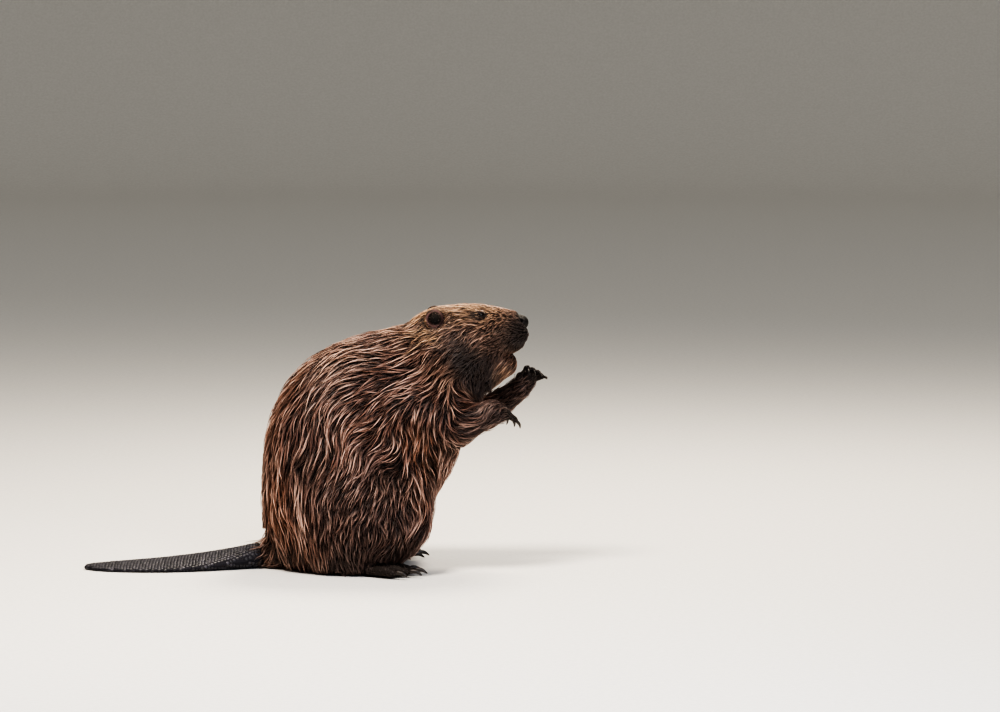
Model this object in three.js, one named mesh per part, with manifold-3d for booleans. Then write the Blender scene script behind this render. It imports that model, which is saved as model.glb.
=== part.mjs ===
// A life-size Eurasian beaver sitting up on its haunches, forepaws raised to its mouth.
// Millimetres. +X is the way the animal faces, +Y its left side, +Z up. The floor is z = 0.
// Every solid reaches out to the tips of the coat. The body's outline is a field of smoothly
// joined muscle masses; each named piece is a sleeve of rings drawn out to that field.
import * as THREE from "three";
import { mergeVertices } from "three/addons/utils/BufferGeometryUtils.js";
import Module from "manifold-3d";

const wasm = await Module();
wasm.setup();

// ---- driving dimensions ------------------------------------------------------------------
const GAP = 0.35; // clearance between neighbouring pieces
const SIDES = { right: -1, left: 1 }; // sign of y

const RUMP_WIDTH = 268;
const SHOULDER_WIDTH = 178;
const HEAD_WIDTH = 100;
const MUZZLE_WIDTH = 56;
const EYE = { x: 329, y: 35, z: 382, radius: 5.8 };
const EAR = { x: 261, y: 42, z: 378, length: 29, width: 28, cup: 9, wall: 5 };
const NOSE = { x: 391.5, z: 367, width: 28, height: 26, depth: 21, nostril: 11.5 };
const TAIL = { rootX: 8, length: 272, width: 124, rootWidth: 66, bend: -22 };
const TAIL_HEIGHT = { root: 46, tip: 9, underside: -2.5 };
const HIND_FOOT = { heelX: 104, y: 86, splay: 9, length: 152, width: 88 };
// The hand from the wrist to its row of knuckles, which are spacing apart and fan out by fan degrees.
const HAND = { palm: 27, spacing: 7.2, fan: 13, fingers: [17, 20, 20, 16] };
const KNEE = { x: 220, y: 88, z: 74, radius: 36 };
const HEEL = { x: 130, y: 86, z: 36, radius: 28 };

const sides = Object.entries(SIDES);
const both = (make) => sides.map(([name, side]) => make(side, name));
const v3 = (x, y, z) => new THREE.Vector3(x, y, z);
const mix = THREE.MathUtils.lerp;
const rad = THREE.MathUtils.degToRad;

// ---- fields: negative inside, about the distance in mm outside ------------------------------
// An ellipsoid mass; pitch tips its nose up, in degrees.
function mass(x, y, z, rx, ry, rz, pitch = 0) {
  const c = Math.cos(rad(pitch));
  const s = Math.sin(rad(pitch));
  return (p) => {
    const dx = (p.x - x) * c + (p.z - z) * s;
    const dz = (p.z - z) * c - (p.x - x) * s;
    const dy = p.y - y;
    const k = Math.hypot(dx / rx, dy / ry, dz / rz);
    const g = Math.hypot(dx / rx ** 2, dy / ry ** 2, dz / rz ** 2);
    return k < 1e-6 ? -Math.min(rx, ry, rz) : (k * (k - 1)) / g;
  };
}

// A tapered round bar from a to b; wide stretches it sideways.
function bar(a, b, ra, rb, wide = 1) {
  const axis = b.clone().sub(a);
  const length2 = axis.lengthSq();
  return (p) => {
    const t = THREE.MathUtils.clamp(p.clone().sub(a).dot(axis) / length2, 0, 1);
    const q = a.clone().addScaledVector(axis, t);
    return Math.hypot(p.x - q.x, (p.y - q.y) / wide, p.z - q.z) - mix(ra, rb, t);
  };
}

const mirrored = (field) => (p) => Math.min(field(p), field(v3(p.x, -p.y, p.z)));

// Joins fields with a fillet about k mm wide.
function joined(k, ...fields) {
  return (p) =>
    fields.reduce((all, field) => {
      const d = field(p);
      const h = Math.max(k - Math.abs(all - d), 0) / k;
      return Math.min(all, d) - (h * h * k) / 4;
    }, 1e6);
}

// ---- solids ----------------------------------------------------------------------------------
// Bends a sphere's vertices to place(v, turn): v runs 0 to 1 from pole to pole, turn round it.
function sleeve(sides, rings, place) {
  const ball = new THREE.SphereGeometry(1, sides, rings);
  const at = ball.attributes.position;
  const p = new THREE.Vector3();
  for (let i = 0; i < at.count; i++) {
    p.fromBufferAttribute(at, i);
    const v = Math.acos(THREE.MathUtils.clamp(-p.y, -1, 1)) / Math.PI;
    const out = place(v, Math.atan2(p.z, p.x));
    at.setXYZ(i, out.x, out.y, out.z);
  }
  return solid(ball);
}

// A closed three.js geometry as a manifold.
function solid(geometry) {
  const bare = geometry.clone();
  bare.deleteAttribute("normal");
  bare.deleteAttribute("uv");
  const merged = mergeVertices(bare, 1e-3);
  const made = new wasm.Manifold(
    new wasm.Mesh({
      numProp: 3,
      vertProperties: new Float32Array(merged.attributes.position.array),
      triVerts: new Uint32Array(merged.index.array),
    }),
  );
  if (made.volume() > 0) return made;
  const flipped = new Uint32Array(merged.index.array);
  for (let i = 0; i < flipped.length; i += 3)
    [flipped[i + 1], flipped[i + 2]] = [flipped[i + 2], flipped[i + 1]];
  return new wasm.Manifold(
    new wasm.Mesh({
      numProp: 3,
      vertProperties: new Float32Array(merged.attributes.position.array),
      triVerts: flipped,
    }),
  );
}

// Two directions square to a line, the first as level as can be.
function squareTo(axis) {
  const level = v3(0, 0, 1).cross(axis);
  if (level.lengthSq() < 1e-6) level.set(0, 1, 0);
  level.normalize();
  return [level, axis.clone().cross(level).normalize()];
}

// Draws rings out from the line a-b to a field's surface, with a dome over each end.
function wrap(field, a, b, { sides = 20, rings = 14, dome = 0.3, grow = 0, reach = 260 } = {}) {
  const axis = b.clone().sub(a).normalize();
  const [level, up] = squareTo(axis);
  return sleeve(sides, rings, (v, turn) => {
    const along = THREE.MathUtils.clamp((v - dome) / (1 - 2 * dome), 0, 1);
    const past = v < dome ? v / dome - 1 : v > 1 - dome ? 1 - (1 - v) / dome : 0;
    const ray = level.clone().multiplyScalar(Math.cos(turn));
    ray.addScaledVector(up, Math.sin(turn)).multiplyScalar(Math.cos((past * Math.PI) / 2));
    ray.addScaledVector(axis, Math.sin((past * Math.PI) / 2));
    const from = a.clone().lerp(b, along);
    const at = (d) => field(from.clone().addScaledVector(ray, d)) - grow;
    let low = 0;
    let high = 0;
    while (high < reach && at(high) < 0) {
      low = high;
      high += Math.max(0.8, -0.7 * at(high));
    }
    if (high === 0) throw new Error("a wrap's line leaves its field");
    for (let n = 0; n < 16; n++) {
      const half = (low + high) / 2;
      if (at(half) < 0) low = half;
      else high = half;
    }
    return from.addScaledVector(ray, high);
  });
}

// A round-ended tube along a smooth curve. radii are spaced evenly along it; flat squeezes it
// along the second of its two cross directions.
function tube(points, radii, { sides = 6, rings = 6, flat = 1, grow = 0, blunt = 4 } = {}) {
  const curve = new THREE.CatmullRomCurve3(points);
  return sleeve(sides, rings, (v, turn) => {
    const t = (1 - Math.cos(Math.PI * v)) / 2;
    const [level, up] = squareTo(curve.getTangent(t));
    const step = t * (radii.length - 1);
    const i = Math.min(Math.floor(step), radii.length - 2);
    const round = Math.sqrt(Math.max(0, 1 - Math.abs(2 * t - 1) ** blunt));
    const r = mix(radii[i], radii[i + 1], step - i) * round + grow * Math.sin(Math.PI * v);
    const out = curve.getPoint(t).addScaledVector(level, Math.cos(turn) * r);
    return out.addScaledVector(up, Math.sin(turn) * r * flat);
  });
}

const union = (solids) => solids.reduce((a, b) => a.add(b));

function largest(body) {
  return body.decompose().sort((a, b) => b.volume() - a.volume())[0];
}

function block(x, y, z, lx, ly, lz, pitch = 0) {
  const box = new THREE.BoxGeometry(lx, ly, lz).rotateY(rad(-pitch)).translate(x, y, z);
  return solid(box);
}

// ---- where the arms bend ---------------------------------------------------------------------------
// turn rolls, pitches and yaws the hand, in degrees; curl bends its fingers.
const ARMS = {
  right: {
    shoulder: v3(240, -62, 246), elbow: v3(294, -70, 215), wrist: v3(343, -54, 238),
    thick: [28, 19], curl: 46, turn: [30, -6, 26],
  },
  left: {
    shoulder: v3(240, 62, 248), elbow: v3(336, 62, 225), wrist: v3(388, 43, 266),
    thick: [27, 17], curl: 74, turn: [-62, -50, -12],
  },
};

// ---- the animal's masses -----------------------------------------------------------------------
const rump = mass(116, 0, 70, 114, RUMP_WIDTH * 0.47, 92);
const loin = mass(132, 0, 150, 131, RUMP_WIDTH * 0.465, 118, 20);
const back = mass(130, 0, 227, 134, 104, 106, 50);
const withers = mass(214, 0, 272, 98, SHOULDER_WIDTH / 2, 80, 24);
const belly = mass(216, 0, 192, 78, 84, 86, 40);
const haunch = mirrored(mass(168, 78, 92, 88, 60, 80, 28));
const shoulder = mirrored(mass(256, 52, 228, 60, 36, 60, -20));
const nape = bar(v3(214, 0, 290), v3(284, 0, 334), 66, 52, 1.04);
const throat = bar(v3(262, 0, 262), v3(328, 0, 301), 64, 32, 0.96);
const upperArm = ({ shoulder: top, elbow, thick }) => bar(top, elbow, 40, thick[0]);
const joint = ({ x, y, z }) => v3(x, y, z);
const lowerLeg = mirrored(bar(joint(KNEE), joint(HEEL), KNEE.radius, HEEL.radius));
const trunk = joined(40, rump, loin, back, withers, belly, haunch, lowerLeg);
const torso = joined(30, trunk, shoulder, nape, throat);
const torsoAndArms = joined(30, torso, upperArm(ARMS.right), upperArm(ARMS.left));

const crown = mass(284, 0, 349, 64, HEAD_WIDTH / 2, 43, -3);
const brow = mass(330, 0, 362, 50, 41, 31);
const muzzle = bar(v3(322, 0, 352), v3(370, 0, 357), 38, MUZZLE_WIDTH / 2);
const lip = mirrored(bar(v3(350, 12, 342), v3(377, 11, 346), 20, 16));
const cheek = mirrored(mass(292, 26, 332, 46, 28, 38));
const skull = joined(20, crown, brow, muzzle, lip, cheek);
const face = joined(20, torso, skull);

const jaw = bar(v3(318, 0, 318), v3(360, 0, 308), 33, 17, 1.08);
const chin = mass(366, 0, 307, 20, 20, 16, -24);
const dewlap = bar(v3(362, 0, 304), v3(332, 0, 286), 16, 26, 1.1);
const jawline = joined(12, jaw, chin, dewlap);

// ---- where the pieces part -----------------------------------------------------------------------
// A half-space beyond a plane that leans across the body: everything ahead of and above it.
function ahead(x, z, lean, shift) {
  const half = block(300 + shift, 0, 0, 600, 700, 900);
  return half.rotate([0, -lean, 0]).translate([x, 0, z]);
}
const NECK_BASE = { x: 260, z: 306, lean: 52 };
const NECK_TOP = { x: 284, z: 320, lean: 46 };
const beyond = (cut, shift) => ahead(cut.x, cut.z, cut.lean, shift);
const floor = block(0, 0, -100, 2000, 1000, 200);

// ---- paws ----------------------------------------------------------------------------------------
const CLAW = { radii: [2.6, 2.4, 1.7, 0.7], flat: 1.2, blunt: 10 };

// One digit: knuckle, joint and pad, then a claw that leaves its tip and hooks down.
function digit(knuckle, joint, tip, claw, radii, grow) {
  const finger = tube([knuckle, joint, tip], radii, { sides: 6, rings: 4, grow });
  const nail = tube(claw, CLAW.radii, { sides: 4, rings: 4, flat: CLAW.flat, blunt: CLAW.blunt, grow });
  return finger.add(nail);
}

// A forepaw in its own frame: wrist at the origin, +X to the fingertips, +Z the back of the hand.
function forepaw(side, curl, grow) {
  const palm = wrap(
    joined(8, mass(18, 0, -1, 21, 14.5, 10.5, -6), mass(3, 0, 0, 13, 12, 12.5)),
    v3(2, 0, 0),
    v3(22, 0, -2),
    { sides: 10, rings: 6, grow, reach: 60 },
  );
  const fingers = HAND.fingers.map((long, i) => {
    const place = i - 1.5;
    const fan = rad(place * HAND.fan);
    // Along the finger and down from the knuckle, to its place in the fanned hand.
    const out = (d, drop) =>
      v3(HAND.palm + d * Math.cos(fan), place * HAND.spacing + d * Math.sin(fan), drop);
    const bones = [
      { long: long * 0.5, turn: curl * 0.35 },
      { long: long * 0.55, turn: curl },
      { long: 8, turn: curl + 12 },
      { long: 9, turn: curl + 40 },
    ];
    let [d, drop] = [0, -1];
    const ends = bones.map((bone) => {
      d += bone.long * Math.cos(rad(bone.turn));
      drop -= bone.long * Math.sin(rad(bone.turn));
      return out(d, drop);
    });
    const [joint, tip, arch, point] = ends;
    return digit(out(-5, -1), joint, tip, [joint.clone().lerp(tip, 0.85), arch, point], [5.4, 5, 4.2], grow);
  });
  const thumb = digit(
    v3(10, -side * 9, -4),
    v3(17, -side * 16, -8),
    v3(24, -side * 17, -12),
    [v3(23, -side * 17, -12), v3(28, -side * 17, -15), v3(31, -side * 16, -19)],
    [5, 4.4, 3.6],
    grow,
  );
  return union([palm, ...fingers, thumb]);
}

// The sole of a hind foot in its own frame: heel over the origin, +X to the toes, floor at z = 0.
const BALL = HIND_FOOT.length * 0.52;
function sole(grow) {
  const heel = mass(8, 0, 15, 24, 17, 20);
  const arch = mass(BALL * 0.62, 0, 12, 42, 24, 16);
  const ball = mass(BALL, 0, 9, 22, 32, 12);
  const size = { sides: 10, rings: 7, grow, reach: 80 };
  return wrap(joined(16, heel, arch, ball), v3(6, 0, 12), v3(BALL, 0, 8), size);
}

// The fan of the web from above: its edge sags between the toes. grow pushes the edge out.
const TOE_REACH = [0.74, 0.92, 1, 0.97, 0.84]; // inner toe to outer toe, as shares of the foot
function webFan(side, reach, steps, sagging, grow) {
  const fan = new THREE.Shape();
  fan.moveTo(BALL - 16 - grow, -side * (22 + grow));
  for (let n = 0; n <= steps; n++) {
    const s = (n / steps) * (TOE_REACH.length - 1);
    const k = Math.min(Math.floor(s), TOE_REACH.length - 2);
    const sag = 1 - sagging * Math.sin(Math.PI * (s - k));
    const out = (reach + grow) * mix(TOE_REACH[k], TOE_REACH[k + 1], s - k) * sag;
    fan.lineTo(out, side * (s / 2 - 1) * (HIND_FOOT.width / 2 + grow) * 0.98);
  }
  fan.lineTo(BALL - 16 - grow, side * (22 + grow));
  return fan;
}

// A flat plate of an outline, from one height to another.
function plate(outline, low, high) {
  const sheet = { depth: high - low, bevelEnabled: false };
  return solid(new THREE.ExtrudeGeometry(outline, sheet).translate(0, 0, low));
}

// The hind foot: sole, five clawed toes and the web between them.
function hindFoot(side) {
  const { length, width } = HIND_FOOT;
  const toes = TOE_REACH.map((share, i) => {
    const across = (side * (i - 2)) / 2;
    const root = v3(BALL - 8, across * 24, 9);
    const tip = v3((length - 17) * share, (across * width) / 2, 6);
    const middle = root.clone().lerp(tip, 0.55).setZ(10);
    const claw = [
      v3(tip.x - 2, tip.y * 0.99, 8),
      v3(tip.x + 8, tip.y * 1.05, 8),
      v3(tip.x + 17, tip.y * 1.08, 2.5),
    ];
    return digit(root, middle, tip, claw, [8.5, 8, 6.2], 0);
  });
  const web = plate(webFan(side, length - 22, 8, 0.13, 0), 1, 6);
  return union([sole(0), ...toes, web]);
}

// The room that a hind foot takes under the leg.
const footRoom = (side) => sole(GAP).add(plate(webFan(side, HIND_FOOT.length, 4, 0, 12), -1, 19.5));

// ---- tail ----------------------------------------------------------------------------------------
// s runs 0 at the root to 1 at the tip.
const tailLine = (s) => v3(TAIL.rootX - TAIL.length * s, TAIL.bend * s * s, 0);
const bladeHalfWidth = (s) => {
  const swell = mix(TAIL.rootWidth / 2, TAIL.width / 2, THREE.MathUtils.smoothstep(s, 0, 0.5));
  return swell * Math.sqrt(Math.max(0, 1 - Math.max(0, (s - 0.55) / 0.45) ** 2.4));
};
const bladeTop = (s) => mix(TAIL_HEIGHT.tip, TAIL_HEIGHT.root, (1 - s) ** 2.8);

function tailBlade(grow) {
  return sleeve(14, 13, (v, turn) => {
    const s = (1 - Math.cos(Math.PI * v)) / 2;
    const open = Math.sin(Math.PI * v) ** 0.25;
    const c = tailLine(s);
    const y = Math.cos(turn) * (bladeHalfWidth(s) + grow) * open;
    const z = mix(TAIL_HEIGHT.underside - grow, bladeTop(s) + grow, 0.5 + 0.5 * Math.sin(turn) * open);
    const roll = rad(7) * (1 - s) ** 2;
    return v3(c.x + grow * Math.cos(Math.PI * v), c.y + y, z + y * Math.sin(roll));
  });
}

function tailRoot(grow) {
  const thick = bar(v3(70, 0, 50), v3(30, 0, 33), 40, 29, 1.3);
  const thin = bar(v3(36, 0, 28), v3(22, 0, 24), 26, 22, 1.5);
  const size = { sides: 12, rings: 7, grow, reach: 80 };
  return wrap(joined(20, thick, thin), v3(62, 0, 48), v3(24, 0, 27), size);
}

// ---- ears, eyes, nose and teeth --------------------------------------------------------------------
// A shallow cup with a rolled rim, opening along +Y, leaned back and turned a little forward.
function ear(side) {
  const { length, width, cup, wall } = EAR;
  const r = width / 2;
  const arc = (steps, radius, depth) =>
    Array.from({ length: steps + 1 }, (_, i) => {
      const a = (i / steps) * (Math.PI / 2);
      return new THREE.Vector2(radius * Math.sin(a), -depth * Math.cos(a));
    });
  const rim = [new THREE.Vector2(r - wall * 0.2, wall * 0.35), new THREE.Vector2(r - wall * 0.7, wall * 0.1)];
  const profile = [...arc(4, r, cup + wall), ...rim, ...arc(2, r - wall * 0.8, cup).reverse()];
  const shell = solid(new THREE.LatheGeometry(profile, 12).scale(length / width, 1, 1));
  const turned = shell.rotate([0, 40, 0]).rotate([side * -14, 0, side > 0 ? -26 : 26 + 180]);
  return turned.translate([EAR.x, side * EAR.y, EAR.z]);
}

// The hollow in the side of the head that an ear sits in.
function earRoom(side) {
  const at = v3(EAR.x, side * (EAR.y - 3), EAR.z);
  const along = at.clone().add(v3(1, 0, 0));
  const wide = EAR.length / 2 + 3.5;
  return wrap(mass(at.x, at.y, at.z, wide, wide - 1, wide), at, along, { sides: 10, rings: 6, reach: 30 });
}

function eye(side, grow) {
  const ball = new THREE.SphereGeometry(EYE.radius + grow, 8, 6);
  return solid(ball.translate(EYE.x, side * EYE.y, EYE.z));
}

function nose(grow) {
  const { x, z, width, height, depth, nostril } = NOSE;
  const pad = joined(
    6,
    mass(x, 0, z, depth / 2, width / 2, height / 2, -18),
    mass(x - 3, 0, z + 5, 9, width / 2, 8),
  );
  const body = wrap(pad, v3(x - 3, 0, z), v3(x + 3, 0, z - 1), { sides: 10, rings: 6, grow, reach: 40 });
  if (grow) return body;
  return both((side) => {
    const hole = mass(x - 1, side * nostril, z + 4, 5, 4, 3, 25);
    const inner = v3(x - 2, side * nostril, z + 4);
    return wrap(hole, inner, v3(x, side * nostril, z + 4), { sides: 6, rings: 4, reach: 20 });
  }).reduce((a, b) => a.subtract(b), body);
}

function incisors(grow) {
  const size = { sides: 6, rings: 4, grow, blunt: 14 };
  const tooth = (side) => {
    const line = [v3(370, side * 3.6, 342), v3(378, side * 3.6, 334), v3(379.5, side * 3.6, 321)];
    return tube(line, [3.8, 3.9, 3.5], size);
  };
  return tooth(1).add(tooth(-1));
}

// ---- arms and legs -----------------------------------------------------------------------------------
const forearm = ({ elbow, wrist, thick }, grow) =>
  wrap(bar(elbow, wrist, ...thick), elbow, wrist, { sides: 10, rings: 8, dome: 0.34, grow, reach: 90 });
const hand = ({ curl, turn, wrist }, side, grow) =>
  forepaw(side, curl, grow).rotate(turn).translate(wrist.toArray());
const onFloor = (body, side) =>
  body.rotate([0, 0, side * HIND_FOOT.splay]).translate([HIND_FOOT.heelX, side * HIND_FOOT.y, -0.6]);

// The parts of the trunk that are the animal's upper limbs, as the room that each takes up.
function room(x, y, z, rx, ry, rz, pitch, grow) {
  const lean = v3(Math.cos(rad(pitch)), 0, Math.sin(rad(pitch))).multiplyScalar(rx / 3);
  const at = v3(x, y, z);
  const size = { sides: 12, rings: 6, grow, reach: 140 };
  return wrap(mass(x, y, z, rx, ry, rz, pitch), at.clone().sub(lean), at.clone().add(lean), size);
}
const thighRoom = (side, grow) => room(160, side * 118, 108, 84, 84, 78, 30, grow);
const lowerLegRoom = (side, grow) => room(176, side * 106, 42, 96, 62, 46, 16, grow);
function upperArmRoom(side, { shoulder, elbow, wrist }, grow) {
  const outer = shoulder.clone().add(v3(0, side * 22, 0));
  const end = elbow.clone().lerp(wrist, 0.25);
  return wrap(bar(outer, end, 58, 41), outer, end, { sides: 12, rings: 8, dome: 0.34, grow, reach: 90 });
}

// ---- the body, and its parting ---------------------------------------------------------------------
const trunkWrap = wrap(torsoAndArms, v3(122, 0, 58), v3(222, 0, 262), { sides: 24, rings: 18, dome: 0.3 });
const neckSize = { sides: 24, rings: 8, dome: 0.26, reach: 120 };
const neckWrap = wrap(face, v3(236, 0, 282), v3(292, 0, 330), neckSize);
const headWrap = (grow) =>
  wrap(face, v3(286, 0, 346), v3(366, 0, 356), { sides: 22, rings: 17, dome: 0.32, grow, reach: 120 });
const jawWrap = wrap(jawline, v3(326, 0, 316), v3(362, 0, 307), { sides: 14, rings: 10, reach: 60 });

// ---- the pieces ------------------------------------------------------------------------------------
const FINISH = {
  body_fur: { color: 0x4f3a33, roughness: 0.6 },
  face_fur: { color: 0x5a4337, roughness: 0.6 },
  dark_fur: { color: 0x2f2520, roughness: 0.65 },
  bare_skin: { color: 0x2c2623, roughness: 0.5 },
  tail_scale: { color: 0x33302f, roughness: 0.55 },
  nose_skin: { color: 0x1b1614, roughness: 0.35 },
  eye: { color: 0x0b0706, roughness: 0.05 },
  enamel: { color: 0xb5682b, roughness: 0.3 },
};
const finished = (look) => new THREE.MeshStandardMaterial({ ...look, metalness: 0 });
const materials = Object.fromEntries(Object.entries(FINISH).map(([name, look]) => [name, finished(look)]));

const animal = new THREE.Group();

// Adds one named piece: the body less everything its neighbours need, standing on the floor.
function add(name, finish, body, ...cuts) {
  const cleared = largest(cuts.reduce((a, b) => a.subtract(b), body).subtract(floor));
  const { numProp, vertProperties, triVerts } = cleared.getMesh();
  const at = new Float32Array((vertProperties.length / numProp) * 3);
  for (let i = 0; i < at.length / 3; i++) {
    at.set(vertProperties.subarray(i * numProp, i * numProp + 3), i * 3);
  }
  const geometry = new THREE.BufferGeometry();
  geometry.setAttribute("position", new THREE.BufferAttribute(at, 3));
  geometry.setIndex(new THREE.BufferAttribute(new Uint32Array(triVerts), 1));
  geometry.computeVertexNormals();
  const mesh = new THREE.Mesh(geometry, materials[finish]);
  mesh.name = name;
  animal.add(mesh);
}

const below = trunkWrap.subtract(beyond(NECK_BASE, 0));
const thighCuts = both((side) => thighRoom(side, GAP));
const lowerLegCuts = both((side) => lowerLegRoom(side, GAP));
const footCuts = both((side) => onFloor(footRoom(side), side));
const upperArmCuts = both((side, name) => upperArmRoom(side, ARMS[name], GAP));
const forearmCuts = both((side, name) => forearm(ARMS[name], GAP));
const handCuts = both((side, name) => hand(ARMS[name], side, GAP));

const headCuts = [nose(GAP), incisors(GAP), ...both((side) => eye(side, GAP)), ...both(earRoom)];
add("head", "face_fur", headWrap(0).intersect(beyond(NECK_TOP, GAP)), ...headCuts);
add("lower_jaw", "face_fur", jawWrap.intersect(beyond(NECK_TOP, GAP)), headWrap(GAP), incisors(GAP));
add("nose", "nose_skin", nose(0));
add("incisors", "enamel", incisors(0));
add("neck", "body_fur", neckWrap.intersect(beyond(NECK_BASE, GAP)), beyond(NECK_TOP, 0), ...forearmCuts);
const tailCuts = [tailRoot(GAP), tailBlade(GAP)];
add("trunk", "body_fur", below, ...thighCuts, ...lowerLegCuts, ...footCuts, ...upperArmCuts, ...tailCuts);
sides.forEach(([name, side], i) => {
  const arm = ARMS[name];
  add(`ear_${name}`, "dark_fur", ear(side));
  add(`eye_${name}`, "eye", eye(side, 0));
  add(`upper_arm_${name}`, "body_fur", below.intersect(upperArmRoom(side, arm, 0)), forearmCuts[i]);
  add(`forearm_${name}`, "dark_fur", forearm(arm, 0), handCuts[i]);
  add(`forepaw_${name}`, "bare_skin", hand(arm, side, 0));
  add(`thigh_${name}`, "body_fur", below.intersect(thighRoom(side, 0)), lowerLegCuts[i], ...tailCuts);
  add(`lower_leg_${name}`, "body_fur", below.intersect(lowerLegRoom(side, 0)), footCuts[i]);
  add(`hind_foot_${name}`, "bare_skin", onFloor(hindFoot(side), side));
});
add("tail_root", "body_fur", tailRoot(0), tailBlade(GAP));
add("tail_blade", "tail_scale", tailBlade(0));

// The origin is on the floor, under the middle of the animal's box.
const bounds = new THREE.Box3().setFromObject(animal, true);
const middle = bounds.getCenter(v3(0, 0, 0));
animal.position.set(-middle.x, -middle.y, -bounds.min.z);
const beaver = new THREE.Group();
beaver.add(animal);
beaver.updateMatrixWorld(true);

export default beaver;
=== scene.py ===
"""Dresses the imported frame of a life-size sitting beaver: one skin, wet coat, scaled tail and face.

Metres, in the frame's own axes: +X is the way the animal faces, +Y its left side, +Z up.
"""

import math

import bmesh
import bpy
import numpy as np
from mathutils import Euler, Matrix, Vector
from mathutils.bvhtree import BVHTree
from mathutils.kdtree import KDTree


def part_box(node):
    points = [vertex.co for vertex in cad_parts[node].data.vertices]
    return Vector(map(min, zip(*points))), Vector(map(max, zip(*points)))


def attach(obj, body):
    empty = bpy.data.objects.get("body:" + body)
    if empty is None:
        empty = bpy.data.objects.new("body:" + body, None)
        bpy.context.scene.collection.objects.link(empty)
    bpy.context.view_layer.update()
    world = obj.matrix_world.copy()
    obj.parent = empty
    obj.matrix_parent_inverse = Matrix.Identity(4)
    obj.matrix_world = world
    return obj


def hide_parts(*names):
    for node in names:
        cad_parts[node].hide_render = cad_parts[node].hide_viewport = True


bl_info = {
    "name": "Life-size beaver",
    "version": (1, 0, 0),
    "blender": (4, 5, 0),
    "location": "View3D > Sidebar > Beaver",
    "description": "Skin, wet coat, scaled tail and face of a sitting beaver, over its packed frame",
    "category": "Object",
}

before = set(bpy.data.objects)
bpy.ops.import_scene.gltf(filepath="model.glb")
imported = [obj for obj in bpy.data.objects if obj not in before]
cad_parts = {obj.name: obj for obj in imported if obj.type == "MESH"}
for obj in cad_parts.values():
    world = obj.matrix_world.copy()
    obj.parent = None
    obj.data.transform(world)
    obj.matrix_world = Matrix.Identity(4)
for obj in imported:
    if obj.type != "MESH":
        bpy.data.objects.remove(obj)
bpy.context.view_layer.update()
MM = 0.001
SIDES = {"right": -1, "left": 1}
BODY = "root"
store = {}  # what one operator makes and a later one needs

# Nodes of flesh that one skin stands for.
TORSO = ["trunk", "neck", "head", "tail_root"] + [
    f"{part}_{side}" for part in ("thigh", "lower_leg", "upper_arm", "forearm") for side in SIDES
]
LIMBS = [f"{part}_{side}" for part in ("forepaw", "hind_foot", "ear") for side in SIDES]
FLESH = TORSO + LIMBS + ["lower_jaw", "tail_blade"]


def centre(node):
    low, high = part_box(node)
    return (low + high) / 2


def linear(hex_colour):
    """An sRGB hex colour as linear RGBA."""
    parts = [int(hex_colour[i : i + 2], 16) / 255 for i in (0, 2, 4)]
    return tuple(c / 12.92 if c <= 0.04045 else ((c + 0.055) / 1.055) ** 2.4 for c in parts) + (1.0,)


# ---- sizes and colours a user would change ---------------------------------------------------------
def length(name, description, default):
    return bpy.props.FloatProperty(
        name=name, description=description, default=default, min=0.0, precision=4, unit="LENGTH"
    )


def colour(name, description, hex_colour):
    return bpy.props.FloatVectorProperty(
        name=name, description=description, default=linear(hex_colour), size=4, min=0, max=1, subtype="COLOR"
    )


class BeaverSkin(bpy.types.PropertyGroup):
    """The skin under the coat."""

    torso_grain: length("Torso grain", "Edge length of the mesh on which the torso is smoothed", 0.003)
    grain: length("Grain", "Edge length of the skin's mesh before it is thinned", 0.00125)
    triangles: bpy.props.IntProperty(
        name="Triangles", description="Size of the finished skin", default=185000, min=10000
    )
    # Underfur: partly dark wool, partly painted shade under the coat.
    underfur: colour("Underfur", "Dense dark wool at the roots of the coat", "1A120F")
    bare: colour("Bare skin", "Paws, feet and lids", "332B28")


class BeaverCoat(bpy.types.PropertyGroup):
    """The coat of wet guard hair."""

    length: bpy.props.FloatProperty(
        name="Length", description="Scales every lock's length", default=1.0, min=0.2, max=2.0
    )
    density: bpy.props.FloatProperty(
        name="Density", description="Scales the number of locks", default=1.0, min=0.02, max=1.4
    )
    # Root: partly dark pigment, partly painted shade deep in the coat.
    root: colour("Root", "Hair where it leaves the underfur", "0E0908")
    guard: colour("Guard hair", "Middle of a lock", "7A584E")
    # Tip: partly paler worn ends, partly painted sheen of the wet locks.
    tip: colour("Tip", "Worn ends of the locks", "E4C0B0")
    # Crown: the pale streaks by the ears, and painted light on the top of the head, nape and back.
    crown: colour("Crown", "Sun-bleached hair of the crown and nape", "F6C99A")
    rust: colour("Rust", "Warm hair of the chest, elbow and rump", "936044")


class BeaverParts(bpy.types.PropertyGroup):
    """The small hard and bare parts."""

    scale: length("Tail scale", "Length of one scale of the tail", 0.0062)
    whisker: length("Whisker", "Longest whisker", 0.058)
    horn: colour("Claw horn", "Keratin of the claws", "1C1613")
    enamel: colour("Incisor enamel", "Iron-rich enamel of the incisors", "7A4A26")
    nose: colour("Nose", "Bare leathery pad of the nose", "120D0B")


class BeaverStage(bpy.types.PropertyGroup):
    """Floor, light and camera."""

    elevation: bpy.props.FloatProperty(
        name="Elevation",
        description="How far the camera looks down",
        default=math.radians(5),
        subtype="ANGLE",
    )
    distance: length("Distance", "Camera to the animal", 8.3)
    lens: bpy.props.FloatProperty(name="Lens", description="Focal length", default=200.0, unit="CAMERA")
    floor: colour("Floor", "Matt pale studio floor", "D9D7D2")
    reach: length("Floor reach", "Radius of the flat floor, beyond the camera", 9.6)


# ---- small helpers ---------------------------------------------------------------------------------
def unit(a):
    return a / np.maximum(np.linalg.norm(a, axis=-1, keepdims=True), 1e-12)


def step(edge0, edge1, x):
    t = np.clip((x - edge0) / (edge1 - edge0), 0, 1)
    return t * t * (3 - 2 * t)


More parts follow.
